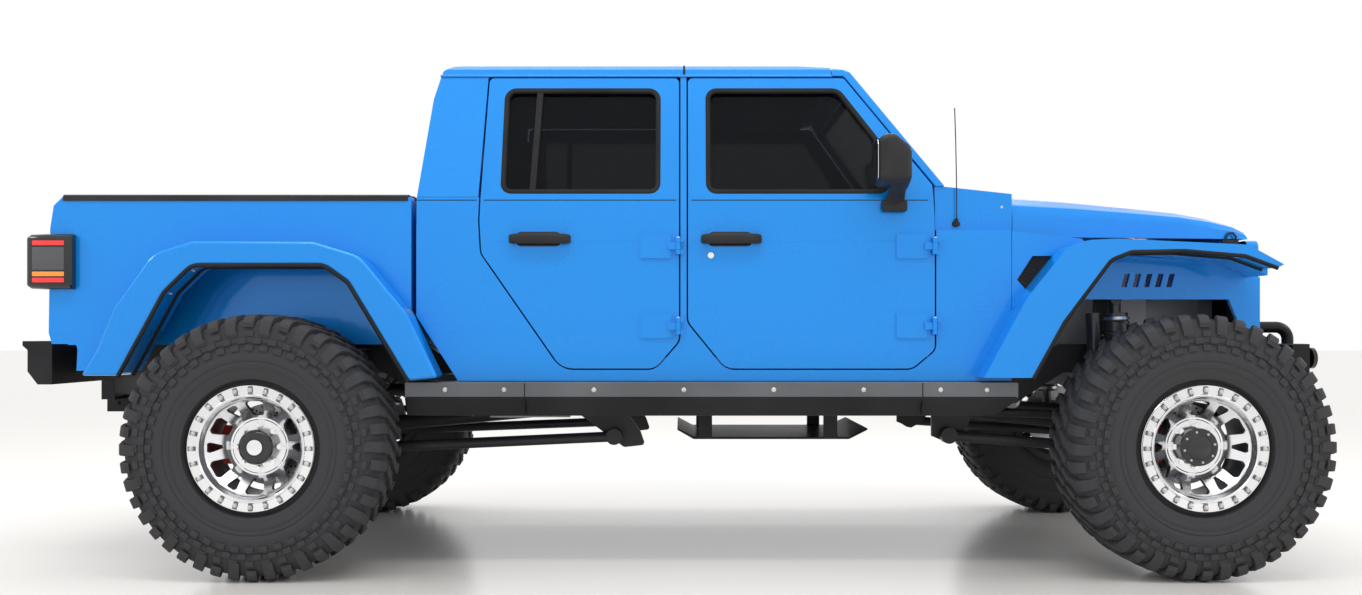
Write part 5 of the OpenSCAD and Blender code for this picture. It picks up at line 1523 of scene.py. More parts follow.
    def _aerial(self) -> None:
        """Makes the aerial on the right-hand cowl."""
        base = towards((1.083, -0.766, 1.372), (0, -0.6, 0.8))
        shape = Shape("aerial")
        shape.turned([(-0.004, 0), (-0.004, 0.017), (0.003, 0.0165), (0.010, 0.010), (0.022, 0.0065),
                      (0.022, 0)],
                     PLASTIC, 24, base)
        shape.tube([(1.083, -0.7785, 1.388), (1.083, -0.7795, 1.40), (1.082, -0.780, 1.55),
                    (1.079, -0.780, 1.70),
                    (1.075, -0.779, 1.83)], 0.0022, PLASTIC, 8)
        ridden(shape.bake(smooth=50))

    def _bolts(self) -> None:
        """Sets the screws of hinges and cowl, and the hinge pins."""
        head = self.stock.cap_screw("body_screw", 0.0075, 0.005)
        for end, x in (("front", 0.989), ("rear", -0.022)):
            for side in Side:
                s = side.value
                spots = [((x - q, s * (HALF_WIDTH - 0.0003), z + dz), (0, s, 0)) for z in (1.28, 0.965)
                         for q, dz in ((0.055, 0.0), (0.095, 0.026), (0.095, -0.026), (0.130, 0.0))]
                self.copies.on_points(f"hinge_screws_{end}_{side.word}", head, spots, PAINT,
                                      f"door_{end}_{side.word}", "paint_blue")
                pin = Shape(f"hinge_pins_{end}_{side.word}")
                for z in (1.28, 0.965):
                    at = Matrix.Translation((x, s * 0.82, z + 0.033))
                    pin.turned([(-0.002, 0), (-0.002, 0.0095), (0.0015, 0.009), (0.0035, 0.006), (0.0035, 0)],
                               ZINC, 20, at)
                ridden(pin.bake(smooth=50))
        cowl = [((x, s * y, 1.44), (0, s, 0)) for x, y in ((1.16, 0.7435), (1.27, 0.742)) for s in (-1, 1)]
        self.copies.on_points("cowl_screws", self.stock.hex_bolt("cowl_screw", 0.011, 0.007), cowl,
                                     ZINC)

    def _bed_caps(self) -> None:
        """Lays the black caps on the bed's rails, with their tie-down loops."""
        shape = Shape("bed_rail_caps")
        for s in (-1, 1):
            profile = [(0.7375, BELT - 0.012), (0.7375, BELT + 0.006), (0.744, BELT + 0.010),
                       (0.792, BELT + 0.010),
                       (0.8025, BELT + 0.005), (0.8045, BELT - 0.016), (0.8005, BELT - 0.016),
                       (0.8, BELT + 0.0005),
                       (0.741, BELT + 0.0005), (0.741, BELT - 0.012)]
            rings = [[(x, s * y, z) for y, z in profile] for x in (-2.452, -2.0, -1.5, -1.09)]
            shape.loft(rings, PLASTIC)
        profile = [(-1.119, BELT - 0.01), (-1.119, BELT + 0.006), (-1.113, BELT + 0.0095),
                   (-1.082, BELT + 0.0095),
                   (-1.076, BELT + 0.006), (-1.076, BELT - 0.01), (-1.0775, BELT - 0.01),
                   (-1.0775, BELT + 0.0005),
                   (-1.1165, BELT + 0.0005), (-1.1165, BELT - 0.01)]
        shape.loft([[(x, y, z) for x, z in profile] for y in (-0.738, 0.0, 0.738)], PLASTIC)
        ridden(shape.bake(smooth=40))
        loops = Shape("tie_down_loops")
        for s in (-1, 1):
            for x in (-2.36, -1.2):
                arc = [(x + 0.032 * math.cos(t), s * 0.722, 1.30 - 0.03 * math.sin(t))
                       for t in [math.pi * i / 10 for i in range(11)]]
                loops.tube([(arc[0][0], s * 0.741, arc[0][2]), *arc, (arc[-1][0], s * 0.741, arc[-1][2])],
                           0.005, ZINC, 8)
        ridden(loops.bake(smooth=50))

    def _cowl_grille(self) -> None:
        """Makes the air intake at the windshield's foot, and the two wipers."""
        slat = Shape("cowl_slat").box((-0.0035, -0.03, -0.002), (0.0035, 0.03, 0.003), PLASTIC, 0.0015)
        part = self.stock.keep(slat)
        for i, y in enumerate((-0.46, -0.36, -0.10, 0.0, 0.36, 0.46)):
            made = self.copies.run("row", f"cowl_intake_{i}", Matrix.Identity(4), Part=part, Count=9,
                                   Start=(1.10, y, 1.5165), Step=(0.014, 0.0, -0.00137), Finish=PLASTIC)
            ridden(made)
        wipers = Shape("wipers")
        for y0 in (0.12, -0.50):
            wipers.turned([(-0.004, 0), (-0.004, 0.014), (0.012, 0.012), (0.016, 0.007), (0.016, 0)], PLASTIC,
                          20,
                          Matrix.Translation((1.052, y0, 1.521)))
            wipers.tube([(1.052, y0, 1.537), (1.03, y0 + 0.12, 1.556), (1.012, y0 + 0.26, 1.572)], 0.0055,
                        PLASTIC, 8)
            blade = [(1.024, y0 + 0.06, 1.5575), (1.013, y0 + 0.24, 1.571), (1.008, y0 + 0.42, 1.578)]
            wipers.tube(blade, 0.0042, SEAL, 6)
        ridden(wipers.bake(smooth=50))


@dataclass
class Mirror:
    """A door mirror: foot, arm, shell and glass."""

    side: Side

    def build(self) -> None:
        """Makes the mirror, in the space of its CAD node."""
        s = self.side.value
        shape = Shape(f"mirror_body_{self.side.word}")
        low = BELT - 0.062
        y_foot = HALF_WIDTH - 0.004
        shape.side_box((0.780, y_foot, low + 0.002), (0.880, 0.835, low + 0.05), PLASTIC, self.side, 0.012)
        rings = []
        for y, z, a, b in ((0.822, low + 0.034, 0.038, 0.018), (0.845, low + 0.06, 0.036, 0.018),
                           (0.88, low + 0.082, 0.034, 0.017), (0.93, low + 0.094, 0.036, 0.018),
                           (0.965, low + 0.11, 0.038, 0.02)):
            rings.append([(0.83 + a * math.cos(TURN * k / 16), s * y,
                           z + b * math.sin(TURN * k / 16)) for k in range(16)])
        shape.loft(rings, PLASTIC)
        outline = ((-0.038, 0.092, 0.03), (-0.038, 0.281, 0.04), (0.026, 0.288, 0.04), (0.094, 0.232, 0.05),
                   (0.094, 0.094, 0.03))
        shell = []
        for y, d in ((0.812, -0.026), (0.822, -0.010), (0.84, -0.002), (0.90, 0.0), (0.98, -0.002),
                     (1.008, -0.010),
                     (1.018, -0.026)):
            shell.append([(0.777 + x, s * y, low + z) for x, z in rounded(grown(outline, d), 6)])
        shape.loft(shell, PLASTIC)
        door = f"door_front_{self.side.word}"
        ridden(shape.bake(smooth=50), door, "trim_black", f"mirror_{self.side.word}")
        glass = Shape(f"mirror_glass_{self.side.word}")
        rows = ((s * 0.835, low + 0.108, 0.025), (s * 0.835, low + 0.262, 0.03),
                (s * 0.995, low + 0.262, 0.03),
                (s * 0.995, low + 0.108, 0.025))
        points = rounded(rows, 5)
        glass.loft([[(0.7395, y, z) for y, z in points], [(0.7375, y, z) for y, z in points],
                    [(0.7365, y, z) for y, z in rounded(grown(rows, -0.003), 5)]], CHROME)
        ridden(glass.bake(smooth=40), door)


@dataclass
class Lamps:
    """Head, fog and tail lamps, and the grille's bars."""

    stock: Stock
    copies: Copies
    head_y: float = 0.48
    head_z: float = 1.205

    def build(self) -> None:
        """Makes every lamp."""
        for side in Side:
            self._head(side)
            self._tail(side)
            self._fog(side)
        self._bars()

    def _head(self, side: Side) -> None:
        """Makes a round headlamp: ring, bowl, bulb unit and lens.

        Args:
            side: Which side.
        """
        place = Matrix.Translation((2.279, side.value * self.head_y,
                                    self.head_z)) @ Matrix.Rotation(math.pi / 2, 4, "Y")
        shape = Shape(f"headlamp_{side.word}")

        def paint(high: float, r: float) -> Finish:
            """Bright bowl in a gloss black ring and foot."""
            return GLOSS_BLACK if r > 0.086 or high < 0.02 else CHROME

        shape.turned([(0.0, 0.0), (0.0, 0.0895), (0.08, 0.0895), (0.0885, 0.088), (0.0885, 0.084),
                      (0.082, 0.081),
                      (0.06, 0.078), (0.035, 0.066), (0.022, 0.046), (0.018, 0.02), (0.018, 0.0)], paint, 72,
                     place)
        shape.turned([(0.018, 0.0), (0.018, 0.026), (0.05, 0.03), (0.056, 0.026), (0.062, 0.014),
                      (0.064, 0.0)], LED, 40,
                     place)
        for k in range(4):
            arm = place @ Matrix.Rotation(TURN * k / 4 + 0.4, 4, "Z")
            shape.box((0.026, -0.004, 0.03), (0.078, 0.004, 0.044), GLOSS_BLACK, 0.002, arm)
        for k in range(6):
            spot = place @ Matrix.Rotation(TURN * k / 6, 4, "Z") @ Matrix.Translation((0.0545, 0, 0.04))
            shape.turned([(0, 0), (0, 0.011), (0.012, 0.013), (0.016, 0.008), (0.017, 0)], LED, 16, spot)
        ridden(shape.bake(smooth=40), "chassis", "lamp_bright",
               *(("headlamps",) if side is Side.RIGHT else ()))
        lens = Shape(f"headlamp_lens_{side.word}")
        lens.turned([(0.078, 0.0855), (0.082, 0.0855), (0.0875, 0.07), (0.0905, 0.04), (0.0915, 0.0),
                     (0.0885, 0.0),
                     (0.0875, 0.04), (0.0845, 0.07)], LENS, 72, place, closed=True)
        ridden(lens.bake(smooth=60), "chassis", "lamp_bright")

    def _tail(self, side: Side) -> None:
        """Makes a tail lamp: dark box, lit strips and lens.

        Args:
            side: Which side.
        """
        s = side.value
        x0, x1, y0, y1, z0, z1 = -2.585, -2.402, 0.701, 0.839, 1.109, 1.327
        shape = Shape(f"tail_lamp_{side.word}")
        rings = []
        for d, x in ((-0.006, x1), (0.0, x1 - 0.006), (0.0, -2.50), (-0.002, x0 + 0.02), (-0.012, x0 + 0.004),
                     (-0.026, x0)):
            rows = ((s * y0, z0, 0.022), (s * y0, z1, 0.022), (s * y1, z1, 0.022), (s * y1, z0, 0.022))
            rings.append([(x, y, z) for y, z in rounded(grown(rows, d), 5)])
        shape.loft(rings, GLOSS_BLACK)
        for z, finish in ((z1 - 0.042, RED_LENS), (z1 - 0.078, AMBER_LENS), (z0 + 0.078, AMBER_LENS),
                          (z0 + 0.042, RED_LENS)):
            shape.side_box((x0 - 0.0012, y0 + 0.026, z - 0.0145), (x0 + 0.02, y1 - 0.026, z + 0.0145), finish,
                           side)
        shape.side_box((x0 - 0.0008, y0 + 0.026, z0 + 0.098), (x0 + 0.02, y1 - 0.026, z1 - 0.098), DARK_LENS,
                       side)
        near, far = y1 - 0.02, y1 + 0.0012
        for z, finish in ((z1 - 0.036, RED_LENS), (z0 + 0.036, RED_LENS), (z0 + 0.06, AMBER_LENS)):
            shape.side_box((-2.556, near, z - 0.0095), (-2.43, far, z + 0.0095), finish, side)
        shape.side_box((-2.556, near, z0 + 0.076), (-2.43, far, z1 - 0.052), DARK_LENS, side)
        ridden(shape.bake(smooth=40), "chassis", "lamp_bright",
               *(("tail_lamps",) if side is Side.RIGHT else ()))

    def _fog(self, side: Side) -> None:
        """Sets a small lamp in the front bumper.

        Args:
            side: Which side.
        """
        place = Matrix.Translation((2.6345, side.value * 0.5, 0.832)) @ Matrix.Rotation(math.pi / 2, 4, "Y")
        shape = Shape(f"fog_lamp_{side.word}")
        shape.turned([(-0.012, 0), (-0.012, 0.044), (0.003, 0.044), (0.0055, 0.041), (0.0045, 0.037),
                      (0.0, 0.036),
                      (-0.006, 0.026), (-0.008, 0.0)], lambda h, r: CHROME if r < 0.036 else GLOSS_BLACK, 48,
                     place)
        shape.turned([(-0.0085, 0), (-0.0085, 0.012), (0.0, 0.014), (0.002, 0.0)], LED, 24, place)
        ridden(shape.bake(smooth=45), "chassis", "lamp_bright")
        lens = Shape(f"fog_lens_{side.word}")
        lens.turned([(0.0025, 0.0372), (0.005, 0.02), (0.0055, 0.0), (0.004, 0.0), (0.0035, 0.02),
                     (0.001, 0.0372)], LENS,
                    48, place)
        ridden(lens.bake(smooth=60), "chassis", "lamp_bright")

    def _bars(self) -> None:
        """Sets the upright bars in the grille's mouth."""
        bar = Shape("grille_bar").box((-0.014, -0.019, -0.132), (0.014, 0.019, 0.132), PAINT, 0.011)
        part = self.stock.keep(bar)
        made = self.copies.run("row", "grille_bars", Matrix.Identity(4), Part=part, Count=8,
                               Start=(2.349, -0.315, 1.14), Step=(0.0, 0.09, 0.0), Finish=PAINT)
        ridden(made, "chassis", "paint_blue")
        back = Shape("grille_mesh").box((2.318, -0.352, 1.012), (2.332, 0.352, 1.268), MESH, 0.003)
        ridden(back.bake(smooth=30))


@dataclass
class Armour:
    """Bumpers, rocker guards, hoops, hitch and their bolts."""

    stock: Stock
    copies: Copies

    def build(self) -> None:
        """Makes the armour from its CAD nodes and bolts it up."""
        def guard(centre: Vector, normal: Vector) -> Finish:
            """Grey upper face of the rocker guards, black elsewhere."""
            return GREY_COAT if centre.z > 0.687 and abs(centre.y) > HALF_WIDTH else GUARD

        for name, paint, width in (("front_bumper", GUARD, 0.006), ("rear_bumper", GUARD, 0.006),
                                   ("armour", guard, 0.003)):
            from_node(name, "chassis", "armour_black", width, paint)
        self._guard_bolts()
        self._bumper_parts()

    def _guard_bolts(self) -> None:
        """Sets the bolts and the joints along the rocker guards."""
        head = self.stock.hex_bolt("guard_bolt", 0.013, 0.008)
        for side in Side:
            s = side.value
            spots = [((x, s * 0.8745, 0.716), (0, s, 0)) for x in (-0.93, -0.70, -0.35, 0.0, 0.35, 0.70, 1.0,
                                                                   1.18)]
            self.copies.on_points(f"guard_bolts_{side.word}", head, spots, ZINC)
            seam = Shape(f"guard_joints_{side.word}")
            for x in (-0.62, 0.93):
                seam.side_box((x - 0.002, 0.80, 0.618), (x + 0.002, 0.8765, 0.742), SEAL, side, 0.001)
            seam.tube([(-1.08, s * 0.8752, 0.687), (0.0, s * 0.8752, 0.687), (1.295, s * 0.8752, 0.687)],
                      0.0022, SEAL, 6)
            ridden(seam.bake(smooth=40))

    def _bumper_parts(self) -> None:
        """Sets winch fairlead, bolts and shackles."""
        head = self.stock.hex_bolt("bumper_bolt", 0.016, 0.01)
        spots = [((2.634, s * y, z), (1, 0, 0)) for s in (-1, 1) for y,
                 z in ((0.20, 0.86), (0.20, 0.80), (0.40, 0.83))]
        spots += [((-2.634, s * y, 0.82), (-1, 0, 0)) for s in (-1, 1) for y in (0.30, 0.66)]
        self.copies.on_points("bumper_bolts", head, spots, ZINC)
        shape = Shape("fairlead")
        shape.box((2.628, -0.135, 0.797), (2.641, 0.135, 0.863), MACHINED, 0.005)
        rows = ((-0.092, 0.817, 0.012), (-0.092, 0.843, 0.012), (0.092, 0.843, 0.012), (0.092, 0.817, 0.012))
        outer = rounded(rows, 5)
        shape.loft([[(2.6395, y, z) for y, z in outer],
                    [(2.6432, y, z) for y, z in rounded(grown(rows, 0.003), 5)],
                    [(2.6432, y, z) for y, z in rounded(grown(rows, -0.001), 5)],
                    [(2.6385, y, z) for y, z in rounded(grown(rows, -0.004), 5)]], GLOSS_BLACK)
        ridden(shape.bake(smooth=45))
        for side in Side:
            s = side.value
            shape = Shape(f"shackle_{side.word}")
            y = s * 0.33
            loop = [(2.593, y - 0.026, 0.738), (2.60, y - 0.029, 0.712), (2.612, y - 0.031, 0.690),
                    (2.624, y - 0.024, 0.670),
                    (2.629, y, 0.661), (2.624, y + 0.024, 0.670), (2.612, y + 0.031, 0.690),
                    (2.60, y + 0.029, 0.712),
                    (2.593, y + 0.026, 0.738)]
            shape.tube(loop, 0.0085, GREY_COAT, 12)
            shape.tube([(2.593, y - 0.042, 0.738), (2.593, y + 0.042, 0.738)], 0.0085, ZINC, 16)
            ridden(shape.bake(smooth=50))


@dataclass
class RunningGear:
    """Axles, links, springs, steering, exhaust, engine and radiator."""

    stock: Stock
    copies: Copies
    finishes: dict[str, Finish] = field(default_factory=lambda: {
        "paint_blue": PAINT, "chassis_black": COATED, "engine_alloy": CASTING, "exhaust_steel": EXHAUST,
        "armour_black": GUARD, "coilover": SPRING, "knuckle_black": COATED, "steering_black": COATED,
        "steering_steel": GREY_COAT, "radiator_alloy": FINS, "trim_black": PLASTIC, "lamp_bright": LED,
        "seat_fabric": CLOTH, "window_glass": GLASS, "rim_alloy": ALLOY, "tyre_rubber": TYRE})

    def build(self) -> None:
        """Dresses the remaining CAD nodes and adds springs and bolts."""
        for name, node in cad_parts.items():
            made_of = node.data.materials[0].name.split(".")[0]
            dress_node(name, self.finishes.get(made_of, COATED))
        self._hubs()
        for side in Side:
            for end, low, high in (("front", (1.823, 0.53), (1.803, 1.08)),
                                   ("rear", (-1.503, 0.53), (-1.373, 0.84))):
                self._spring(end, low, high, side)

    def _hubs(self) -> None:
        """Makes knuckles and axles from their CAD nodes, with red brake calipers."""
        def hub(centre: Vector, normal: Vector) -> Finish:
            """Red on the calipers, behind the axle and clear of the hub, and black elsewhere."""
            station = AXLE_FRONT if centre.x > 0 else AXLE_REAR
            radius = math.hypot(centre.x - station, centre.z - AXLE_HEIGHT)
            return CALIPER if abs(centre.y) > 0.797 and radius > 0.085 and centre.x < station else COATED

        for side in Side:
            from_node(f"knuckle_{side.word}", f"steer_{side.word}", "knuckle_black", 0.003, hub)
        for axle in ("rear_axle", "front_axle"):
            from_node(axle, "chassis", "chassis_black", 0.003, hub)
        spots = [((AXLE_REAR - 0.118, 0.10 * math.sin(t), AXLE_HEIGHT + 0.10 * math.cos(t)), (-1, 0, 0))
                 for t in [TURN * k / 10 for k in range(10)]]
        bolt = self.stock.hex_bolt("cover_bolt", 0.012, 0.008)
        self.copies.on_points("axle_cover_bolts", bolt, spots, ZINC)

    def _spring(self, end: str, low: tuple[float, float], high: tuple[float, float], side: Side) -> None:
        """Winds a coil spring about a coilover and adds its seats and canister.

        Args:
            end: Front or rear axle.
            low: (x, z) of its lower eye.
            high: (x, z) of its upper eye.
            side: Which side.
        """
        s = side.value
        foot, head = Vector((low[0], s * 0.52, low[1])), Vector((high[0], s * 0.505, high[1]))
        along = head - foot
        length = along.length
        place = towards(foot, along)
        start, stop = 0.26 * length, 0.84 * length
        coil = self.copies.run("coil", f"coil_spring_{end}_{side.word}",
                               place @ Matrix.Translation((0, 0, start)),
                               Turns=6.0 if end == "front" else 4.0, Height=stop - start, Radius=0.052,
                               Wire=0.0075,
                               Finish=SPRING, smooth=80.0)
        ridden(coil, "chassis", "coilover")
        shape = Shape(f"shock_{end}_{side.word}")
        shape.turned([(start - 0.012, 0.0), (start - 0.012, 0.058), (start, 0.061), (start, 0.03),
                      (start + 0.004, 0.0285),
                      (stop, 0.0285), (stop, 0.061), (stop + 0.012, 0.058), (stop + 0.012, 0.0)],
                     lambda h, r: CHROME if r < 0.04 and start < h < stop else MACHINED, 40, place)
        ridden(shape.bake(smooth=45), "chassis", "coilover")


@dataclass
class Interior:
    """Seats, headrests, dash and steering wheel."""

    settle_frames: int = 20
    swell: float = 4.0
    most_swell: float = 0.022
    bolster: float = 0.62

    def build(self) -> None:
        """Makes everything inside the cab."""
        self._seat_covers()
        self._steering_wheel()
        self._dash()

    def _cushion(self, name: str, low: Point, high: Point, lean: float, pivot: Point, channels: int,
                 across: bool = False) -> Piece:
        """Makes one padded cushion by letting a cloth shell swell.

        Args:
            name: The cushion's name.
            low: Its lowest corner, before it leans.
            high: Its highest corner, before it leans.
            lean: Its lean backwards about the Y axis, in degrees.
            pivot: The point it leans about.
            channels: Number of sewn channels in its face.
            across: Whether its thin axis is X, as in a backrest.

        Returns:
            The cushion.
        """
        place = (Matrix.Translation(Vector(pivot)) @ Matrix.Rotation(math.radians(-lean), 4, "Y")
                 @ Matrix.Translation(-Vector(pivot)))
        shape = Shape(name)
        inset = 0.008
        shape.box([v + inset for v in low], [v - inset for v in high], CLOTH, 0.035, place)
        made = shape.bake(smooth=80)
        remesh = made.modifiers.new("voxels", "REMESH")
        remesh.mode = "VOXEL"
        remesh.voxel_size = 0.011
        applied(made)
        self._settle(made)
        smooth = made.modifiers.new("even", "SMOOTH")
        smooth.iterations = 3
        smooth.factor = 0.4
        applied(made)
        back = place.inverted()
        middle = [(a + b) / 2 for a, b in zip(low, high)]
        width = high[1] - low[1]
        for v in made.data.vertices:
            p = back @ v.co
            edge = abs(p.y - middle[1]) / (width / 2)
            pitch = (width * 0.56) / channels
            sewn = abs(((p.y - middle[1]) / pitch + channels % 2 / 2 + 100.0) % 1.0 - 0.5) * 2
            if edge < self.bolster:
                depth = 0.007 * max(0.0, (sewn - 0.72) / 0.28)
            else:
                depth = -0.012 * math.sin(min(1.0, (edge - self.bolster) / 0.38) * math.pi)
            if across:
                p.x -= depth if p.x > middle[0] else 0.0
            elif p.z > middle[2]:
                p.z -= depth
            v.co = place @ p
        level = made.modifiers.new("fine", "SUBSURF")
        level.levels = level.render_levels = 1
        applied(made)
        made.data.materials.clear()
        for finish in (CLOTH, HIDE):
            made.data.materials.append(finish.material())
        for polygon in made.data.polygons:
            p = back @ polygon.center
            polygon.material_index = 1 if abs(p.y - middle[1]) / (width / 2) > self.bolster else 0
        made.data.shade_smooth()
        return made

    def _settle(self, made: Piece) -> None:
        """Lets the cover swell under pressure, as foam under cloth does.

        Args:
            made: The cushion.
        """
        before = [v.co.copy() for v in made.data.vertices]
        cloth = made.modifiers.new("cover", "CLOTH")
        cloth.settings.quality = 6
        cloth.settings.mass = 0.3
        cloth.settings.tension_stiffness = 25
        cloth.settings.compression_stiffness = 25
        cloth.settings.bending_stiffness = 1.0
        cloth.settings.use_pressure = True
        cloth.settings.uniform_pressure_force = self.swell
        cloth.settings.effector_weights.gravity = 0.0
        cloth.point_cache.frame_start = 1
        cloth.point_cache.frame_end = self.settle_frames
        scene = bpy.context.scene
        for step in range(1, self.settle_frames + 1):
            scene.frame_set(step)
        applied(made)
        scene.frame_set(1)
        for v, old in zip(made.data.vertices, before):
            move = v.co - old
            if move.length > self.most_swell:
                v.co = old + move.normalized() * self.most_swell

    def _pad(self, piece: Piece, fill: float) -> None:
        ridden(piece, "chassis", "seat_fabric")

    def _seat_covers(self) -> None:
        """Makes both front seats and the rear bench with their headrests."""
        for side in Side:
            y = side.value * 0.36
            base = self._cushion(f"seat_cushion_{side.word}", (0.052, y - 0.25, 0.962),
                                 (0.566, y + 0.25, 1.148), 0.0,
                                 (0.052, y, 0.962), 4)
            back = self._cushion(f"seat_back_{side.word}", (0.058, y - 0.24, 1.02), (0.18, y + 0.24, 1.66),
                                 14.7,
                                 (0.119, y, 1.12), 4, across=True)
            rest = self._headrest(f"headrest_{side.word}", (-0.046, y, 1.775), 0.17)
            for piece, fill in ((base, 0.7), (back, 0.7), (rest, 0.8)):
                self._pad(piece, fill)
            self._frame(side, y)
        bench = self._cushion("rear_bench_cushion", (-0.70, -0.63, 0.972), (-0.17, 0.63, 1.156), 0.0,
                              (-0.7, 0, 0.97), 9)
        back = self._cushion("rear_bench_back", (-0.678, -0.63, 1.03), (-0.558, 0.63, 1.67), 14.7,
                             (-0.618, 0, 1.12), 9, True)
        for piece in (bench, back):
            self._pad(piece, 0.7)
        for side in Side:
            self._pad(self._headrest(f"rear_headrest_{side.word}", (-0.782, side.value * 0.40, 1.785), 0.17),
                      0.8)

    def _headrest(self, name: str, at: Point, high: float) -> Piece:
        """Makes a headrest on its two posts.

        Args:
            name: Its name.
            at: The middle of its pad.
            high: Its height.

        Returns:
            The headrest.
        """
        shape = Shape(name)
        x, y, z = at
        rings = []
        for q, half in ((-0.5, 0.62), (-0.44, 0.86), (-0.3, 0.97), (0.0, 1.0), (0.3, 0.97), (0.44, 0.86),
                        (0.5, 0.62)):
            ring = []
            for k in range(24):
                turn = TURN * k / 24
                c, d = math.cos(turn), math.sin(turn)
                ring.append((x + 0.046 * half * math.copysign(abs(c) ** 0.7, c),
                             y + 0.128 * half * math.copysign(abs(d) ** 0.55, d), z + q * high))
            rings.append(ring)
        shape.loft(rings, HIDE)
        for s in (-1, 1):
            shape.tube([(x + 0.004, y + s * 0.055, z - high / 2 + 0.01),
                        (x + 0.01, y + s * 0.055, z - high / 2 - 0.09)],
                       0.0065, CHROME, 12)
        return shape.bake(smooth=60, subdivide=1)

    def _frame(self, side: Side, y: float) -> None:
        """Makes the seat's rails and side covers.

        Args:
            side: Which side.
            y: The seat's middle.
        """
        shape = Shape(f"seat_frame_{side.word}")
        for q in (-0.19, 0.19):
            shape.box((0.06, y + q - 0.018, 0.842), (0.52, y + q + 0.018, 0.866), GREY_COAT, 0.004)
            shape.box((0.08, y + q - 0.012, 0.86), (0.48, y + q + 0.012, 0.99), COATED, 0.004)
        shape.box((0.03, y - 0.262, 0.955), (0.50, y - 0.244, 1.045), PLASTIC, 0.008)
        shape.box((0.03, y + 0.244, 0.955), (0.50, y + 0.262, 1.045), PLASTIC, 0.008)
        if side is Side.RIGHT:
            shape.box((-0.675, -0.57, 0.842), (-0.22, 0.57, 1.0), PLASTIC, 0.01)
        ridden(shape.bake(smooth=40), "chassis", "seat_fabric", *(("seats",) if side is Side.RIGHT else ()))

    def _steering_wheel(self) -> None:
        """Makes the wheel's rim grip, spokes and hub."""
        aim = (-math.cos(math.radians(24)), 0.0, math.sin(math.radians(24)))
        place = towards((0.692, 0.38, 1.37), aim)
        shape = Shape("steering_wheel_skin")
        ring = [(0.178 + 0.0155 * math.cos(TURN * k / 12),
                 0.0155 * math.sin(TURN * k / 12)) for k in range(12)]
        shape.turned([(z, r) for r, z in ring], HIDE, 72, place)
        shape.turned([(-0.03, 0), (-0.03, 0.05), (0.0, 0.062), (0.022, 0.058), (0.03, 0.045), (0.033, 0)],
                     PLASTIC, 40, place)
        for turn in (0.0, math.pi, -math.pi / 2):
            arm = place @ Matrix.Rotation(turn, 4, "Z")
            shape.box((0.045, -0.02, -0.008), (0.172, 0.02, 0.010), PLASTIC, 0.006, arm)
            shape.box((0.085, -0.014, 0.009), (0.14, 0.014, 0.0135), MACHINED, 0.003, arm)
        ridden(shape.bake(smooth=50), "chassis", "trim_black", "steering_wheel")

    def _dash(self) -> None:
        """Sets binnacle, dials, screen, vents and glovebox on the dash."""
        shape = Shape("dash_fittings")
        shape.box((0.79, 0.22, 1.455), (0.93, 0.54, 1.525), PLASTIC, 0.02)
        for y in (0.31, 0.45):
            dial = towards((0.7905, y, 1.488), (-1, 0, 0.1))
            shape.turned([(0, 0), (0, 0.030), (0.005, 0.030), (0.006, 0.027), (0.002, 0.025), (0.002, 0)],
                         MACHINED, 32, dial)
            shape.turned([(0.002, 0), (0.002, 0.024), (0.003, 0.0)], DARK_LENS, 32, dial)
        shape.box((0.782, -0.125, 1.325), (0.80, 0.125, 1.462), GLOSS_BLACK, 0.006)
        shape.box((0.780, -0.112, 1.340), (0.784, 0.112, 1.450), DARK_LENS, 0.002)
        for y in (-0.60, -0.20, 0.20, 0.60):
            vent = towards((0.791, y, 1.40), (-1, 0, 0))
            shape.turned([(0, 0), (0, 0.045), (0.008, 0.045), (0.010, 0.041), (0.003, 0.038), (0.003, 0)],
                         PLASTIC, 32, vent)
            for k in (-2, -1, 0, 1, 2):
                shape.box((0.784, y - 0.034, 1.40 + k * 0.014 - 0.0018),
                          (0.792, y + 0.034, 1.40 + k * 0.014 + 0.0018),
                          GREY_COAT, 0.001)
        shape.box((0.786, -0.52, 1.215), (0.797, -0.22, 1.335), PLASTIC, 0.008)
        shape.box((0.30, -0.11, 0.845), (0.80, 0.11, 1.07), PLASTIC, 0.02)
        for x, y, h in ((0.45, 0.0, 0.13), (0.56, 0.05, 0.09)):
            shape.tube([(x, y, 1.06), (x + 0.01, y, 1.06 + h)], 0.008, CHROME, 12)
            knob = Matrix.Translation((x + 0.012, y, 1.06 + h))
            shape.turned([(-0.018, 0), (-0.016, 0.013), (0.0, 0.021), (0.014, 0.019), (0.024, 0.009),
                          (0.026, 0)], GLOSS_BLACK,
                         20, knob)
        ridden(shape.bake(smooth=40))


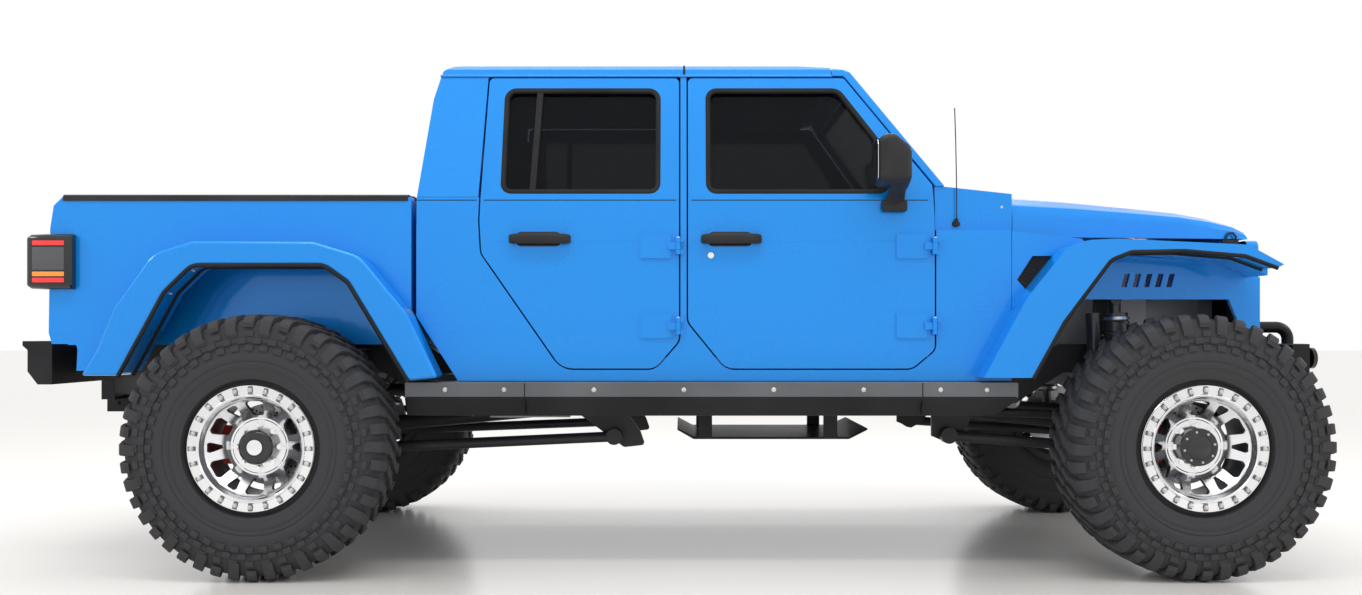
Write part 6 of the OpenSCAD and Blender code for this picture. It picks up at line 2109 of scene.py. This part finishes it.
@dataclass
class Stage:
    """Floor, lights and camera."""

    floor_shade: Point = (0.80, 0.775, 0.74)

    def build(self) -> None:
        """Makes everything round the object."""
        scene = bpy.context.scene
        world = scene.world or bpy.data.worlds.new("studio")
        scene.world = world
        world.use_nodes = True
        sky = world.node_tree.nodes["Background"]
        sky.inputs["Color"].default_value = (1.0, 1.0, 1.0, 1.0)
        sky.inputs["Strength"].default_value = 1.0
        floor = Shape("floor")
        floor.add([(-60, -60, 0), (60, -60, 0), (60, 60, 0), (-60, 60, 0)], [[0, 1, 2, 3]],
                  Finish("floor_gloss", self.floor_shade, 0.22))
        made = floor.bake()
        scene.view_settings.view_transform = "Standard"
        self._light("strip_front", (0.0, -3.4, 6.4), (0.0, -0.8, 1.0), 6.5, 0.7, 120)
        self._light("strip_top", (0.0, 0.6, 6.0), (0.0, 0.0, 1.0), 7.0, 1.2, 90)
        self._light("strip_back", (0.0, 4.5, 5.2), (0.0, 0.8, 1.0), 6.5, 0.8, 80)
        self._light("side_front", (6.5, -2.0, 4.0), (1.0, 0.0, 1.0), 2.0, 0.8, 50)
        self._light("side_rear", (-6.5, -2.0, 4.0), (-1.0, 0.0, 1.0), 2.0, 0.8, 50)
        camera = bpy.data.cameras.new("camera")
        camera.lens = 32.8
        camera.sensor_width = 36.0
        camera.shift_y = 0.026
        seen = linked("camera", camera)
        seen.location = (-0.011, -5.704, 0.9376)
        seen.rotation_euler = (math.pi / 2, 0.0, 0.0)
        scene.camera = seen

    def _light(self, name: str, place: Point, target: Point, wide: float, deep: float, power: float) -> None:
        """Adds a soft strip light.

        Args:
            name: Its name.
            place: Where it stands.
            target: Where it points.
            wide: Its length.
            deep: Its width.
            power: Its power in watts.
        """
        data = bpy.data.lights.new(name, "AREA")
        data.shape = "RECTANGLE"
        data.size = wide
        data.size_y = deep
        data.energy = power
        made = linked(name, data)
        made.location = place
        made.rotation_euler = (Vector(place) - Vector(target)).to_track_quat("Z", "Y").to_euler()


def main() -> None:
    """Builds the whole visual model round the frame."""
    logging.basicConfig(level=logging.INFO, format="%(name)s %(message)s")
    copies, stock = Copies(), Stock()
    gear = RunningGear(stock, copies)
    gear.build()
    BodyShell().build()
    Glazing().build()
    BodyTrim(stock, copies).build()
    for side in Side:
        Mirror(side).build()
    Lamps(stock, copies).build()
    Armour(stock, copies).build()
    Interior().build()
    for station, end in ((AXLE_FRONT, "front"), (AXLE_REAR, "rear")):
        for side in Side:
            Wheel(station, end, side, copies, stock).build()
    Stage().build()


if __name__ == "__main__":
    main()
